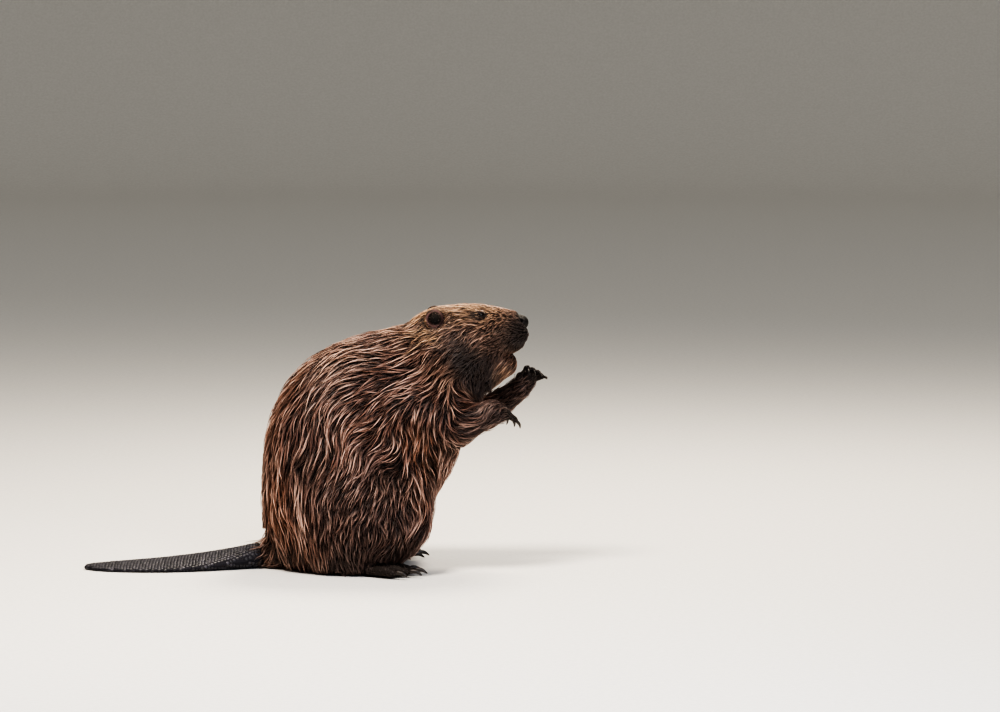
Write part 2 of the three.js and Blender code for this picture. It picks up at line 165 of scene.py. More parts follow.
def ripple(p, size, seed):
    """Smooth noise from -1 to 1 about size metres across, at each point."""
    rng = np.random.default_rng(seed)
    waves = unit(rng.normal(size=(7, 3))) * rng.uniform(0.7, 1.6, (7, 1)) * (math.pi / size)
    phase = rng.uniform(0, 2 * math.pi, 7)
    return np.sin(p @ waves.T + phase).sum(axis=1) / 3.4


def gap_to(place, p):
    """How far each point is from a place."""
    return np.linalg.norm(p - np.array(place), axis=1)


def rotation(turn):
    """A turn in degrees about x, y and z."""
    return Euler([math.radians(a) for a in turn]).to_matrix()


def gather(items, name, width, kind=float):
    out = np.empty(len(items) * width, kind)
    items.foreach_get(name, out)
    return out.reshape(-1, width) if width > 1 else out


def points(mesh):
    return gather(mesh.vertices, "co", 3)


def normals(mesh):
    return gather(mesh.vertex_normals, "vector", 3)


def put_points(mesh, co):
    mesh.vertices.foreach_set("co", co.ravel())
    mesh.update()


def set_values(mesh, name, values):
    """Keeps one value for each point of a mesh, for its material to read."""
    layer = mesh.attributes.new(name, "FLOAT", "POINT")
    layer.data.foreach_set("value", values.astype(np.float32))


def relax(values, edges, rounds, pull=0.5, push=-0.53):
    """Smooths values over a mesh's edges. With push below zero the form keeps its size."""
    values = values.copy() if values.ndim > 1 else values[:, None].copy()
    a, b = edges.T
    degree = np.maximum(np.bincount(edges.ravel(), minlength=len(values)), 1)[:, None]
    for n in range(rounds):
        mean = np.empty_like(values)
        for k in range(values.shape[1]):
            mean[:, k] = np.bincount(a, values[b, k], len(values)) + np.bincount(b, values[a, k], len(values))
        values += (pull if n % 2 == 0 else push) * (mean / degree - values)
    return values


def new_object(name, co, faces, material=None):
    mesh = bpy.data.meshes.new(name)
    mesh.from_pydata([tuple(p) for p in co], [], [tuple(f) for f in faces])
    mesh.validate()
    return shown(name, mesh, material)


def shown(name, mesh, material=None):
    mesh.polygons.foreach_set("use_smooth", np.ones(len(mesh.polygons), bool))
    obj = bpy.data.objects.new(name, mesh)
    bpy.context.scene.collection.objects.link(obj)
    if material:
        mesh.materials.append(material)
    return obj


def joined(name, parts):
    """One loose mesh of many (points, faces) parts."""
    co, faces, start = [], [], 0
    for part_co, part_faces in parts:
        co.append(np.asarray(part_co, float))
        faces += [[i + start for i in face] for face in part_faces]
        start += len(part_co)
    return new_object(name, np.concatenate(co), faces)


def swollen(nodes, grow):
    """Copies of CAD nodes, each grown a little so that neighbours overlap."""
    made = []
    for name in nodes:
        form = bmesh.new()
        form.from_mesh(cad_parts[name].data)
        bmesh.ops.remove_doubles(form, verts=form.verts, dist=1e-5)
        bmesh.ops.recalc_face_normals(form, faces=form.faces)
        form.normal_update()
        form.verts.index_update()
        co = [v.co + v.normal * grow for v in form.verts]
        made.append((co, [[v.index for v in face.verts] for face in form.faces]))
        form.free()
    return made


def evaluated(obj):
    """A new mesh of an object with its modifiers applied."""
    return bpy.data.meshes.new_from_object(obj.evaluated_get(bpy.context.evaluated_depsgraph_get()))


def fused(parts, grain):
    """The outer surface of some overlapping parts, as one even mesh."""
    obj = joined("form", parts)
    voxels = obj.modifiers.new("Fuse", "REMESH")
    voxels.mode = "VOXEL"
    voxels.voxel_size = grain
    mesh = evaluated(obj)
    bpy.data.objects.remove(obj)
    return mesh


def smoothed(parts, grain, rounds):
    """Fused parts with their facets rounded off."""
    mesh = fused(parts, grain)
    edges = gather(mesh.edges, "vertices", 2, int)
    put_points(mesh, relax(points(mesh), edges, rounds))
    return mesh


def thin_out(obj, ratio):
    """Thins an object's mesh to a share of its faces."""
    thin = obj.modifiers.new("Thin", "DECIMATE")
    thin.ratio = ratio
    mesh = evaluated(obj)
    obj.modifiers.clear()
    obj.data = mesh
    return mesh


def mesh_part(mesh):
    return points(mesh), [tuple(face.vertices) for face in mesh.polygons]


def curve_points(path, count):
    """A smooth curve through a few points, evenly spread over its parameter."""
    path = np.asarray(path, float)
    padded = np.vstack([2 * path[0] - path[1], path, 2 * path[-1] - path[-2]])
    t = np.linspace(0, len(path) - 1 - 1e-9, count)
    i = t.astype(int)
    f = (t - i)[:, None]
    p0, p1, p2, p3 = (padded[i + k] for k in range(4))
    return 0.5 * (
        2 * p1 + (p2 - p0) * f + (2 * p0 - 5 * p1 + 4 * p2 - p3) * f**2 + (3 * p1 - p0 - 3 * p2 + p3) * f**3
    )


def ring_faces(rings, around):
    """The faces between closed rings of points, one ring after another."""
    faces = []
    for k in range(rings - 1):
        for n in range(around):
            a, b = k * around + n, k * around + (n + 1) % around
            faces.append((a, b, b + around, a + around))
    return faces


TUBE_STEPS = 80  # points worked out along a tube's middle line


def tube(path, radii, sides=10, rings=12, flat=1.0, blunt=2.6):
    """A round-ended tube: radii are spread evenly along it, and flat scales its upright radius."""
    line = curve_points(path, TUBE_STEPS)
    t = (1 - np.cos(np.pi * (np.arange(rings) + 0.5) / rings)) / 2
    at = t * (len(line) - 1)
    low = np.minimum(at.astype(int), len(line) - 2)
    mid = line[low] + (line[low + 1] - line[low]) * (at - low)[:, None]
    along = unit(np.gradient(line, axis=0))[low]
    level = np.cross(along, (0.0, 0.0, 1.0))
    level[np.linalg.norm(level, axis=1) < 0.05] = (0.0, 1.0, 0.0)
    level = unit(level)
    up = np.cross(level, along)
    r = np.interp(t, np.linspace(0, 1, len(radii)), radii)
    r = r * np.sqrt(np.maximum(0, 1 - np.abs(2 * t - 1) ** blunt))
    turn = np.arange(sides) * 2 * np.pi / sides
    ring = level[:, None] * np.cos(turn)[None, :, None] + up[:, None] * (np.sin(turn) * flat)[None, :, None]
    co = (mid[:, None] + ring * r[:, None, None]).reshape(-1, 3)
    co = np.vstack([co, line[0], line[-1]])
    faces = ring_faces(rings, sides)
    first, last = len(co) - 2, len(co) - 1
    for s in range(sides):
        after = (s + 1) % sides
        faces.append((after, s, first))
        faces.append(((rings - 1) * sides + s, (rings - 1) * sides + after, last))
    return co, faces


def ball(at, radii, turn=(0, 0, 0), detail=3):
    """An ellipsoid; turn is in degrees about x, y and z."""
    form = bmesh.new()
    bmesh.ops.create_icosphere(form, subdivisions=detail, radius=1.0)
    spin = rotation(turn)
    co = [Vector(at) + spin @ Vector([v.co[k] * radii[k] for k in range(3)]) for v in form.verts]
    form.verts.index_update()
    faces = [[v.index for v in face.verts] for face in form.faces]
    form.free()
    return co, faces


def turned(parts, turn):
    """Groups of parts, turned about the origin."""
    spin = np.array(rotation(turn))
    return {
        name: [(np.asarray(co, float) @ spin.T, faces) for co, faces in some] for name, some in parts.items()
    }


def shifted(parts, shift):
    """Groups of parts, moved."""
    return {name: [(co + shift, faces) for co, faces in some] for name, some in parts.items()}


def placed(parts, turn, node):
    """Turns parts about the origin, then sets the middle of their box on the middle of a node's box."""
    parts = turned(parts, turn)
    every = np.concatenate([co for some in parts.values() for co, _ in some])
    return shifted(parts, np.array(centre(node)) - (every.min(0) + every.max(0)) / 2)


# ---- openings that the coat parts round -------------------------------------------------------------
# The way the left one faces, the radius of its rim, and the share of hair that grows inside it.
EYE_FACES = (0.3, 0.92, 0.26)
EAR_FACES = (0.43, 0.87, -0.24)
OPENS = {"eye": (EYE_FACES, 6.1 * MM, 0.0), "ear": (EAR_FACES, 12.5 * MM, 0.3)}


def outward(faces, side):
    """The way an eye or ear faces, on its own side."""
    return unit(np.array(faces) * (1, side, 1))


def openings():
    """Eyes and ears: the middle, the way each faces, the radius of its rim, and the hair left inside."""
    found = []
    for name, side in SIDES.items():
        for part, (faces, rim, inside) in OPENS.items():
            found.append((np.array(centre(f"{part}_{name}")), outward(faces, side), rim, inside))
    return found


OPENINGS = openings()
NOSE = np.array(centre("nose")) + np.array((-1.5, 0, 0.8)) * MM  # middle of the bare pad
NOSE_HALF = np.array((11.5, 14.0, 11.0)) * MM
WAVE = 36 * MM  # from crest to crest along a wavy lock


# ---- node trees ------------------------------------------------------------------------------------
def add(tree, kind, inputs=None, stops=None, **settings):
    """Adds a node: its own settings, a ramp's stops, and values or sockets for its inputs."""
    made = tree.nodes.new(kind)
    for name, value in settings.items():
        setattr(made, name, value)
    for n, (position, shade) in enumerate(stops or []):
        stop = made.color_ramp.elements[n] if n < 2 else made.color_ramp.elements.new(position)
        stop.position = position
        stop.color = shade
    for name, value in (inputs or {}).items():
        if isinstance(value, bpy.types.NodeSocket):
            tree.links.new(value, made.inputs[name])
        else:
            made.inputs[name].default_value = value
    return made


def new_material(name, **surface):
    """A material with one principled shader set to plain values."""
    made = bpy.data.materials.new(name)
    made.use_nodes = True
    shader = made.node_tree.nodes["Principled BSDF"]
    for socket, value in surface.items():
        shader.inputs[socket.replace("_", " ")].default_value = value
    return made, made.node_tree, shader


def mottled(name, scale, detail, tones, space="Object", **surface):
    """A material that runs softly from one tone to another; tones are places on a ramp with colours."""
    made, tree, shader = new_material(name, **surface)
    place = add(tree, "ShaderNodeTexCoord").outputs[space]
    noise = add(tree, "ShaderNodeTexNoise", {"Vector": place, "Scale": scale, "Detail": detail})
    shade = add(tree, "ShaderNodeValToRGB", {"Fac": noise.outputs["Fac"]}, stops=tones)
    tree.links.new(shade.outputs["Color"], shader.inputs["Base Color"])
    return made


MIX_A, MIX_B, MIX_OUT = 6, 7, 2  # sockets of a colour Mix node


def wet_guard_hair():
    """Keratin guard hair, soaked: a film of water gives each lock a soft broken gloss over its pigment."""
    coat = bpy.context.scene.beaver_coat
    made, tree, shader = new_material("Wet guard hair", Roughness=0.38, IOR=1.5)
    along, lock, crest_highlight, pale_and_lit, warm, dusk_and_shade = (
        add(tree, "ShaderNodeAttribute", attribute_name=name).outputs["Fac"]
        for name in ("along", "lock", "crest_highlight", "pale_and_lit", "warm", "dusk_and_shade")
    )
    # Tip colour: partly paler worn ends, partly painted sheen of the wet locks. With the pale share it turns
    # to the crown colour: pale streaks, and painted light on top.
    worn = add(tree, "ShaderNodeMix", {0: pale_and_lit, MIX_A: coat.tip, MIX_B: coat.crown}, data_type="RGBA")
    body = add(tree, "ShaderNodeMix", {0: warm, MIX_A: coat.guard, MIX_B: coat.rust}, data_type="RGBA")
    # A hair is palest along its upper edge, a painted highlight, and a lock's own chance decides how pale its
    # end is: partly bleached hair, partly painted sheen of the wet locks.
    bleach_and_sheen = add(tree, "ShaderNodeMapRange", {"Value": lock, "From Min": 0.22, "From Max": 0.75})
    painted_highlight = add(tree, "ShaderNodeMapRange", {"Value": crest_highlight, "To Min": 0.3, "To Max": 1.0})
    bleached_and_lit = add(tree, "ShaderNodeMath", {0: pale_and_lit, 1: 0.5, 2: bleach_and_sheen.outputs[0]}, operation="MULTIPLY_ADD")
    light = add(
        tree,
        "ShaderNodeMath",
        {0: bleached_and_lit.outputs[0], 1: painted_highlight.outputs[0]},
        operation="MULTIPLY",
        use_clamp=True,
    )
    shaft = add(
        tree,
        "ShaderNodeMix",
        {0: light.outputs[0], MIX_A: body.outputs[MIX_OUT], MIX_B: worn.outputs[MIX_OUT]},
        data_type="RGBA",
    )
    # Hair darkens toward the root and in the soft underhair between the locks: partly deeper pigment, partly
    # painted shade down in the coat.
    rise = add(tree, "ShaderNodeMapRange", {"Value": along, "From Min": 0.08, "From Max": 0.55})
    bared = add(tree, "ShaderNodeMapRange", {"Value": lock, "From Max": 0.22, "To Min": 0.1, "To Max": 1.0})
    grey = add(tree, "ShaderNodeMath", {0: rise.outputs[0], 1: bared.outputs[0]}, operation="MULTIPLY")
    grown = add(
        tree,
        "ShaderNodeMix",
        {0: grey.outputs[0], MIX_A: coat.root, MIX_B: shaft.outputs[MIX_OUT]},
        data_type="RGBA",
    )
    # Dusky hair: dark marks, with painted shade in the throat, the ear's hollow and low on the belly.
    dull = add(
        tree,
        "ShaderNodeMix",
        {0: dusk_and_shade, MIX_A: grown.outputs[MIX_OUT], MIX_B: linear("4C413C")},
        data_type="RGBA",
    )
    tree.links.new(dull.outputs[MIX_OUT], shader.inputs["Base Color"])
    return made


def underfur_and_skin():
    """Dense wool over skin on the body; bare creased hide on paws, feet and lids, by the mesh's own mask."""
    skin = bpy.context.scene.beaver_skin
    made, tree, shader = new_material("Underfur and hide", Roughness=0.75, Specular_IOR_Level=0.25)
    furred, tail, ear_skin, pale_and_lit, warm, dusk_and_shade = (
        add(tree, "ShaderNodeAttribute", attribute_name=name).outputs["Fac"]
        for name in ("furred", "tail", "ear", "pale_and_lit", "warm", "dusk_and_shade")
    )
    place = add(tree, "ShaderNodeTexCoord").outputs["Object"]
    # Wool curls are about 4 mm apart, the creases of bare hide about 0.9 mm.
    wool = add(tree, "ShaderNodeTexNoise", {"Vector": place, "Scale": 1 / 0.004, "Detail": 3.0})
    crease = add(
        tree,
        "ShaderNodeTexVoronoi",
        {"Vector": place, "Scale": 1 / 0.0009},
        feature="DISTANCE_TO_EDGE",
    )
    # The wool runs to near black: partly its own dark colour, partly painted shade under the coat.
    fluff = add(
        tree,
        "ShaderNodeValToRGB",
        {"Fac": wool.outputs["Fac"]},
        stops=[(0.35, linear("080505")), (0.7, tuple(skin.underfur))],
    ).outputs["Color"]
    # The wool carries the coat's markings, each at its own darker tone, and with them their painted light on
    # top and painted shade in hollows and underneath.
    for mask, tone in ((pale_and_lit, "33271F"), (warm, "2B1810"), (dusk_and_shade, "16110F"), (ear_skin, "5C4240")):
        fluff = add(
            tree, "ShaderNodeMix", {0: mask, MIX_A: fluff, MIX_B: linear(tone)}, data_type="RGBA"
        ).outputs[MIX_OUT]
    # Bare hide darkens along its creases: painted shade in them.
    hide = add(
        tree,
        "ShaderNodeValToRGB",
        {"Fac": crease.outputs["Distance"]},
        stops=[(0.0, linear("171210")), (0.25, tuple(skin.bare))],
    )
    slate = add(
        tree,
        "ShaderNodeMix",
        {0: tail, MIX_A: hide.outputs["Color"], MIX_B: linear("26242A")},
        data_type="RGBA",
    )
    worn = add(
        tree,
        "ShaderNodeMix",
        {0: furred, MIX_A: slate.outputs[MIX_OUT], MIX_B: fluff},
        data_type="RGBA",
    )
    tree.links.new(worn.outputs[MIX_OUT], shader.inputs["Base Color"])
    depth = add(
        tree,
        "ShaderNodeMix",
        {0: furred, 2: crease.outputs["Distance"], 3: wool.outputs["Fac"]},
        data_type="FLOAT",
    )
    bump = add(tree, "ShaderNodeBump", {"Height": depth.outputs[0], "Strength": 0.5, "Distance": 0.0003})
    tree.links.new(bump.outputs["Normal"], shader.inputs["Normal"])
    return made


# ---- where the coat lies ---------------------------------------------------------------------------
# What the coat is like on each named part, in mm: how far the skin lies under the tips, then the
# spacing and length of locks and the width of one hair; then shares of pale, warm and dusk colour.
ZONES = {
    "trunk": (8.5, 12.3, 56, 1.12, 0.1, 0.2, 0.0),
    "neck": (7.0, 10.0, 46, 1.0, 0.35, 0.3, 0.0),
    "head": (3.4, 6.4, 26, 0.65, 0.3, 0.2, 0.0),
    "lower_jaw": (3.2, 6.0, 28, 0.75, 0.35, 0.3, 0.0),
    "thigh": (8.0, 8.4, 30, 0.75, 0.05, 0.05, 0.25),
    "lower_leg": (6.5, 7.8, 26, 0.75, 0.0, 0.1, 0.35),
    "upper_arm": (7.0, 10.0, 42, 1.0, 0.1, 0.3, 0.0),
    "forearm": (4.5, 6.6, 24, 0.75, 0.05, 0.1, 0.5),
    "forepaw": (0.8, 4.2, 5, 0.5, 0.0, 0.0, 0.85),
    "hind_foot": (0.8, 5.0, 6, 0.55, 0.0, 0.0, 0.8),
    "ear": (0.6, 2.6, 7, 0.45, 0.2, 0.1, 0.45),
    "tail_root": (6.0, 8.0, 30, 0.95, 0.0, 0.3, 0.2),
    "tail_blade": (0.8, 9.0, 4, 0.4, 0.0, 0.0, 1.0),
}
DEPTH, SPACING, LENGTH, WIDTH, PALE, WARM, DUSK = range(7)
ZONE_NAMES = list(ZONES)
ZONE_TABLE = np.array(list(ZONES.values()))


def zone_weights(outline, p):
    """How much of each zone there is at each point, from the nearest place on the outline."""
    tree, weights = outline
    return weights[np.array([tree.find(q)[1] for q in p])]


def share_of(weights, *zones):
    """How much of some zones there is together, at each point."""
    return sum(weights[:, ZONE_NAMES.index(zone)] for zone in zones)


# Which way the coat is combed: a place in mm (y outward from the midline) and a direction there.
COMBED = [
    ((300, 0, 385), (-1, 0, 0.15)),
    ((300, 28, 355), (-1, 0.1, -0.05)),
    ((295, 20, 338), (-0.85, 0, -0.5)),
    ((265, 40, 345), (-0.85, 0.1, -0.45)),
    ((250, 42, 362), (-0.88, 0.1, -0.4)),
    ((290, 10, 300), (-0.7, 0.1, -0.75)),
    ((280, 24, 285), (-0.6, 0.1, -0.8)),
    ((250, 15, 395), (-1, 0, 0.02)),
    ((205, 20, 395), (-1, 0.1, -0.1)),
    ((222, 46, 358), (-0.82, 0.1, -0.55)),
    ((228, 45, 338), (-0.8, 0.1, -0.6)),
    ((165, 45, 350), (-0.9, 0.1, -0.4)),
    ((215, 50, 325), (-0.85, 0.2, -0.55)),
    ((255, 20, 285), (-0.55, 0, -0.85)),
    ((285, 0, 300), (-0.7, 0, -0.7)),
    ((150, 0, 378), (-1, 0, -0.35)),
    ((165, 60, 320), (-0.9, 0.2, -0.4)),
    ((110, 60, 330), (-0.95, 0.2, -0.3)),
    ((130, 85, 283), (-0.85, 0.1, -0.4)),
    ((95, 95, 265), (-0.75, 0.1, -0.65)),
    ((60, 0, 348), (-1, 0, -0.3)),
    ((0, 60, 325), (-0.85, 0.3, -0.45)),
    ((-20, 0, 310), (-0.8, 0, -0.65)),
    ((40, 80, 300), (-0.8, 0.3, -0.5)),
    ((-41, 75, 248), (-0.4, 0.1, -0.9)),
    ((-70, 0, 220), (-0.25, 0, -1)),
    ((0, 105, 239), (0.1, 0, -1)),
    ((25, 110, 200), (0.05, 0, -1)),
    ((-80, 0, 120), (0, 0, -1)),
    ((-40, 100, 120), (0.1, 0, -1)),
    ((-55, 70, 95), (0.05, 0.05, -1)),
    ((76, 115, 206), (-0.9, 0, -0.4)),
    ((50, 115, 170), (-0.55, 0, -0.8)),
    ((118, 118, 172), (-0.85, 0, -0.45)),
    ((90, 128, 120), (-0.35, 0, -0.9)),
    ((130, 118, 120), (-0.4, 0, -0.85)),
    ((140, 100, 80), (-0.35, 0, -0.9)),
    ((120, 95, 40), (-0.15, 0, -1)),
    ((10, 110, 60), (-0.2, 0, -1)),
    ((-60, 60, 40), (-0.3, 0.1, -0.95)),
    ((-75, 0, 50), (-1, 0, -0.25)),
    ((151, 92, 222), (0.22, 0, -0.97)),
    ((148, 98, 180), (-0.05, 0, -1)),
    ((176, 80, 155), (0.4, 0, -0.9)),
    ((185, 80, 243), (-0.5, 0.1, -0.85)),
    ((195, 72, 200), (0.0, 0, -1)),
    ((215, 0, 230), (0.1, 0, -1)),
    ((190, 40, 170), (0.2, 0, -1)),
    ((150, 0, 110), (-0.1, 0, -1)),
    ((160, 100, 5), (1, 0, 0)),
    ((165, 84, 45), (-0.1, 0, -1)),
    ((172, 40, 60), (-0.1, 0, -1)),
    ((178, 46, 372), (-0.8, 0.5, 0.2)),
]
STROKE_REACH = 0.016  # how near a stroke has to be to rule over the others
# Elbow and wrist in mm, how far the fingers curl, and how the paw is turned, in degrees.
ARMS = {
    "right": {"elbow": (212, -70, 215), "wrist": (261, -54, 238), "curl": 44, "turn": (26, 4, 44)},
    "left": {"elbow": (254, 62, 225), "wrist": (306, 43, 266), "curl": 74, "turn": (-62, -50, -12)},
}


def comb_strokes():
    """Every stroke on both sides, in metres, with one along each forearm and paw."""
    places, ways = [], []
    for (x, y, z), (dx, dy, dz) in COMBED:
        for side in SIDES.values():
            places.append((x * MM, side * y * MM, z * MM))
            ways.append((dx, side * dy, dz))
    for arm in ARMS.values():
        elbow, wrist = (np.array(arm[joint]) * MM for joint in ("elbow", "wrist"))
        along = unit(wrist - elbow)
        for t, droop in ((0.05, 0.7), (0.35, 0.35), (0.65, 0.15), (0.95, 0.0), (1.25, 0.0), (1.6, 0.0)):
            places.append(elbow + (wrist - elbow) * t)
            ways.append(along + np.array((0, 0, -droop)))
    return np.array(places), unit(np.array(ways))


def on_left(p):
    """Points of both sides, brought over to the left one."""
    return np.stack([p[:, 0], np.abs(p[:, 1]), p[:, 2]], axis=1)


def ear_rim(p):
    """1 on the rolled rim of an ear, 0 down in its dark hollow."""
    out = outward(EAR_FACES, SIDES["left"])
    spoke = on_left(p) - np.array(centre("ear_left"))
    return step(8 * MM, 11 * MM, np.linalg.norm(spoke - out * (spoke @ out)[:, None], axis=1))


def nose_gap(p):
    """How far points are from the nose pad's middle, in halves of its own size."""
    return np.linalg.norm((p - NOSE + (1.5 * MM, 0, 0)) / NOSE_HALF, axis=1)


class Coat:
    """The skin as the coat sees it: its surface, its zones and the way its hair lies."""

    def __init__(self, skin, outline):
        self.tree = BVHTree.FromPolygons(*mesh_part(skin.data))
        self.places, self.ways = comb_strokes()
        self.outline = outline

    def zone(self, p):
        """Each zone value and weight at each point, blended across the parting lines."""
        weights = zone_weights(self.outline, p)
        return weights @ ZONE_TABLE, weights

    def lie(self, p, normal):
        """The combed direction, lying in the skin; neighbouring locks swirl together."""
        gap2 = ((p[:, None] - self.places[None]) ** 2).sum(axis=2)
        pull = 1 / (gap2 + STROKE_REACH**2) ** 2
        way = unit(pull @ self.ways)
        curly = 0.55 + 0.45 * step(0.02, 0.1, p[:, 0])
        swirl = 0.26 * ripple(p, 0.07, 5) + 0.38 * curly * ripple(p, 0.023, 6)
        way -= normal * (way * normal).sum(axis=1, keepdims=True)
        way = unit(way)
        way = way * np.cos(swirl)[:, None] + np.cross(normal, way) * np.sin(swirl)[:, None]
        # Hair parts round the eyes and the ears.
        for middle, out, rim, _ in OPENINGS:
            spoke = p - middle
            gap = np.linalg.norm(spoke, axis=1)
            spoke -= out * (spoke @ out)[:, None]
            way += unit(spoke) * (0.9 * step(rim * 1.7, rim, gap))[:, None]
        way -= normal * (way * normal).sum(axis=1, keepdims=True)
        return unit(way)

    def nearest(self, p):
        hits = [self.tree.find_nearest(q) for q in p]
        return np.array([h[0] for h in hits]), np.array([h[1] for h in hits])


def zone_outline():
    """A light mesh of the whole animal with each zone's weight spread across the parting lines."""
    mesh = fused(swollen(FLESH, 0.6 * MM), 4 * MM)
    co = points(mesh)
    gaps = np.full((len(co), len(ZONES)), 1e3)
    reach = 8 * MM
    for name, part in zip(FLESH, swollen(FLESH, 0)):
        surface = BVHTree.FromPolygons(*part)
        column = ZONE_NAMES.index(name.removesuffix("_right").removesuffix("_left"))
        low, high = (np.array(c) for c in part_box(name))
        for i in np.where(((co > low - reach) & (co < high + reach)).all(axis=1))[0]:
            gaps[i, column] = min(gaps[i, column], surface.find_nearest(co[i])[3])
    weights = np.zeros_like(gaps)
    weights[np.arange(len(co)), gaps.argmin(axis=1)] = 1
    edges = gather(mesh.edges, "vertices", 2, int)
    weights = relax(weights, edges, 12, 0.5, 0.5)
    tree = KDTree(len(co))
    for i, p in enumerate(co):
        tree.insert(p, i)
    tree.balance()
    return tree, weights


# ---- paws, feet and ears, in their own frames -----------------------------------------------------------
# Sizes of a forepaw in mm and degrees: length of each finger, gap and fan between them, start of the fingers.
FINGERS = (17, 20, 20, 16)
FINGER_GAP = 7.2
FINGER_FAN = 13
KNUCKLES = 27


def forepaw(side, curl):
    """Palm, four fingers and a thumb, and their claws: wrist at the origin, +X to the fingertips."""
    flesh = [
        ball((18 * MM, 0, -1 * MM), (21 * MM, 14.5 * MM, 10.5 * MM), (0, 6, 0)),
        ball((3 * MM, 0, 0), (13 * MM, 12 * MM, 12.5 * MM)),
        ball((9 * MM, -side * 7 * MM, -6 * MM), (9 * MM, 6 * MM, 5 * MM)),
        ball((14 * MM, side * 8 * MM, -6 * MM), (8 * MM, 6 * MM, 5 * MM)),
    ]
    claws = []
    for i, long in enumerate(FINGERS):
        place = i - 1.5
        across = place * FINGER_GAP
        fan = math.radians(place * FINGER_FAN)
        d, drop = 0.0, -1.0
        # Each finger bends a little less than its neighbour on the thumb's side.
        bent = curl - 11 * side * place
        ends = [(KNUCKLES - 5 * math.cos(fan), across - 5 * math.sin(fan), drop)]
        for bone, turn in ((long * 0.5, bent * 0.35), (long * 0.55, bent), (7, bent + 10), (7, bent + 32)):
            d += bone * math.cos(math.radians(turn))
            drop -= bone * math.sin(math.radians(turn))
            ends.append((KNUCKLES + d * math.cos(fan), across + d * math.sin(fan), drop))
        knuckle, joint, tip, arch, point = (np.array(e) * MM for e in ends)
        middle = (knuckle + joint) / 2
        path = [knuckle, middle, joint, (joint + tip) / 2, tip]
        flesh.append(tube(path, np.array([5.6, 4.6, 4.9, 4.2, 4.5, 3.9]) * MM))
        claws.append(claw([joint + (tip - joint) * 0.8, arch, point], 2.0))
    flesh.append(
        tube(
            np.array([(10, -side * 9, -4), (17, -side * 16, -8), (24, -side * 17, -12)]) * MM,
            np.array([5, 4.4, 3.6]) * MM,
        )
    )
    thumb = np.array([(23, -side * 17, -12), (28, -side * 17, -15), (31, -side * 16, -19)]) * MM
    claws.append(claw(thumb, 1.7))
    return {"flesh": flesh, "claws": claws}


def claw(path, thick):
    """A hooked claw, deeper than it is wide and worn to a blunt point."""
    radii = np.array([1.0, 1.0, 0.82, 0.55, 0.28]) * thick * MM
    return tube(path, radii, sides=10, rings=12, flat=1.25, blunt=9)


# A hind foot in mm, from its heel, and the share of that length that each toe reaches.
HIND = {"length": 152, "width": 88, "ball": 79}
TOE_REACH = (0.74, 0.92, 1, 0.97, 0.84)
WEB_STEPS = 24


def hind_foot(side):
    """Sole, five clawed toes and the web: heel over the origin, +X to the toes, floor at z = 0."""
    length, width, ball_x = HIND["length"], HIND["width"], HIND["ball"]
    flesh = [
        ball((8 * MM, 0, 15 * MM), (24 * MM, 17 * MM, 15 * MM)),
        ball((ball_x * 0.62 * MM, 0, 11 * MM), (42 * MM, 23 * MM, 12 * MM)),
        ball((ball_x * MM, 0, 9 * MM), (22 * MM, 31 * MM, 9.5 * MM)),
    ]
    claws, tips = [], []
    for i, share in enumerate(TOE_REACH):
        across = side * (i - 2) / 2
        root = np.array((ball_x - 8, across * 24, 9.0))
        tip = np.array(((length - 17) * share, across * width / 2, 6.0))
        middle = root + (tip - root) * 0.5
        path = np.array([root, middle + (0, 0, 2.5), root + (tip - root) * 0.78 + (0, 0, 1.0), tip]) * MM
        flesh.append(tube(path, np.array([8.0, 7.2, 7.4, 6.0, 6.6, 5.4]) * MM, rings=16))
        hook = ((-3, 0.99, 8), (8, 1.05, 8), (17, 1.08, 2.8))
        nail = np.array([(tip[0] + ahead, tip[1] * spread, up) for ahead, spread, up in hook])
        claws.append(claw(nail * MM, 2.9))
        tips.append((share, across))
    flesh.append(web(tips, length - 22, width, ball_x))
    return {"flesh": flesh, "claws": claws}


def web(tips, reach, width, ball_x):
    """Skin stretched between the toes, thin at its sagging edge."""
    outer = []
    for n in range(WEB_STEPS + 1):
        s = n / WEB_STEPS * (len(tips) - 1)
        k = min(int(s), len(tips) - 2)
        f = s - k
        share = tips[k][0] + (tips[k + 1][0] - tips[k][0]) * f
        across = tips[k][1] + (tips[k + 1][1] - tips[k][1]) * f
        sag = 1 - 0.13 * math.sin(math.pi * f)
        outer.append((share * reach * sag, across * width / 2 * 0.98))
    inner = [(ball_x - 16, y * 0.5) for _, y in outer]
    co, faces = [], []
    for z_in, z_out in ((2.0, 1.2), (9.0, 4.2)):
        for edge, z in ((inner, z_in), (outer, z_out)):
            co += [(x * MM, y * MM, z * MM) for x, y in edge]
    row = WEB_STEPS + 1
    for n in range(WEB_STEPS):
        faces.append((n, n + row, n + 1 + row, n + 1))
        faces.append((2 * row + n, 2 * row + n + 1, 3 * row + n + 1, 3 * row + n))
        faces.append((row + n, 3 * row + n, 3 * row + n + 1, row + n + 1))
        faces.append((n, n + 1, 2 * row + n + 1, 2 * row + n))
    for end in (0, WEB_STEPS):
        faces.append((end, row + end, 3 * row + end, 2 * row + end))
    return co, faces


EAR_SPINS = 28  # points round an ear's rim


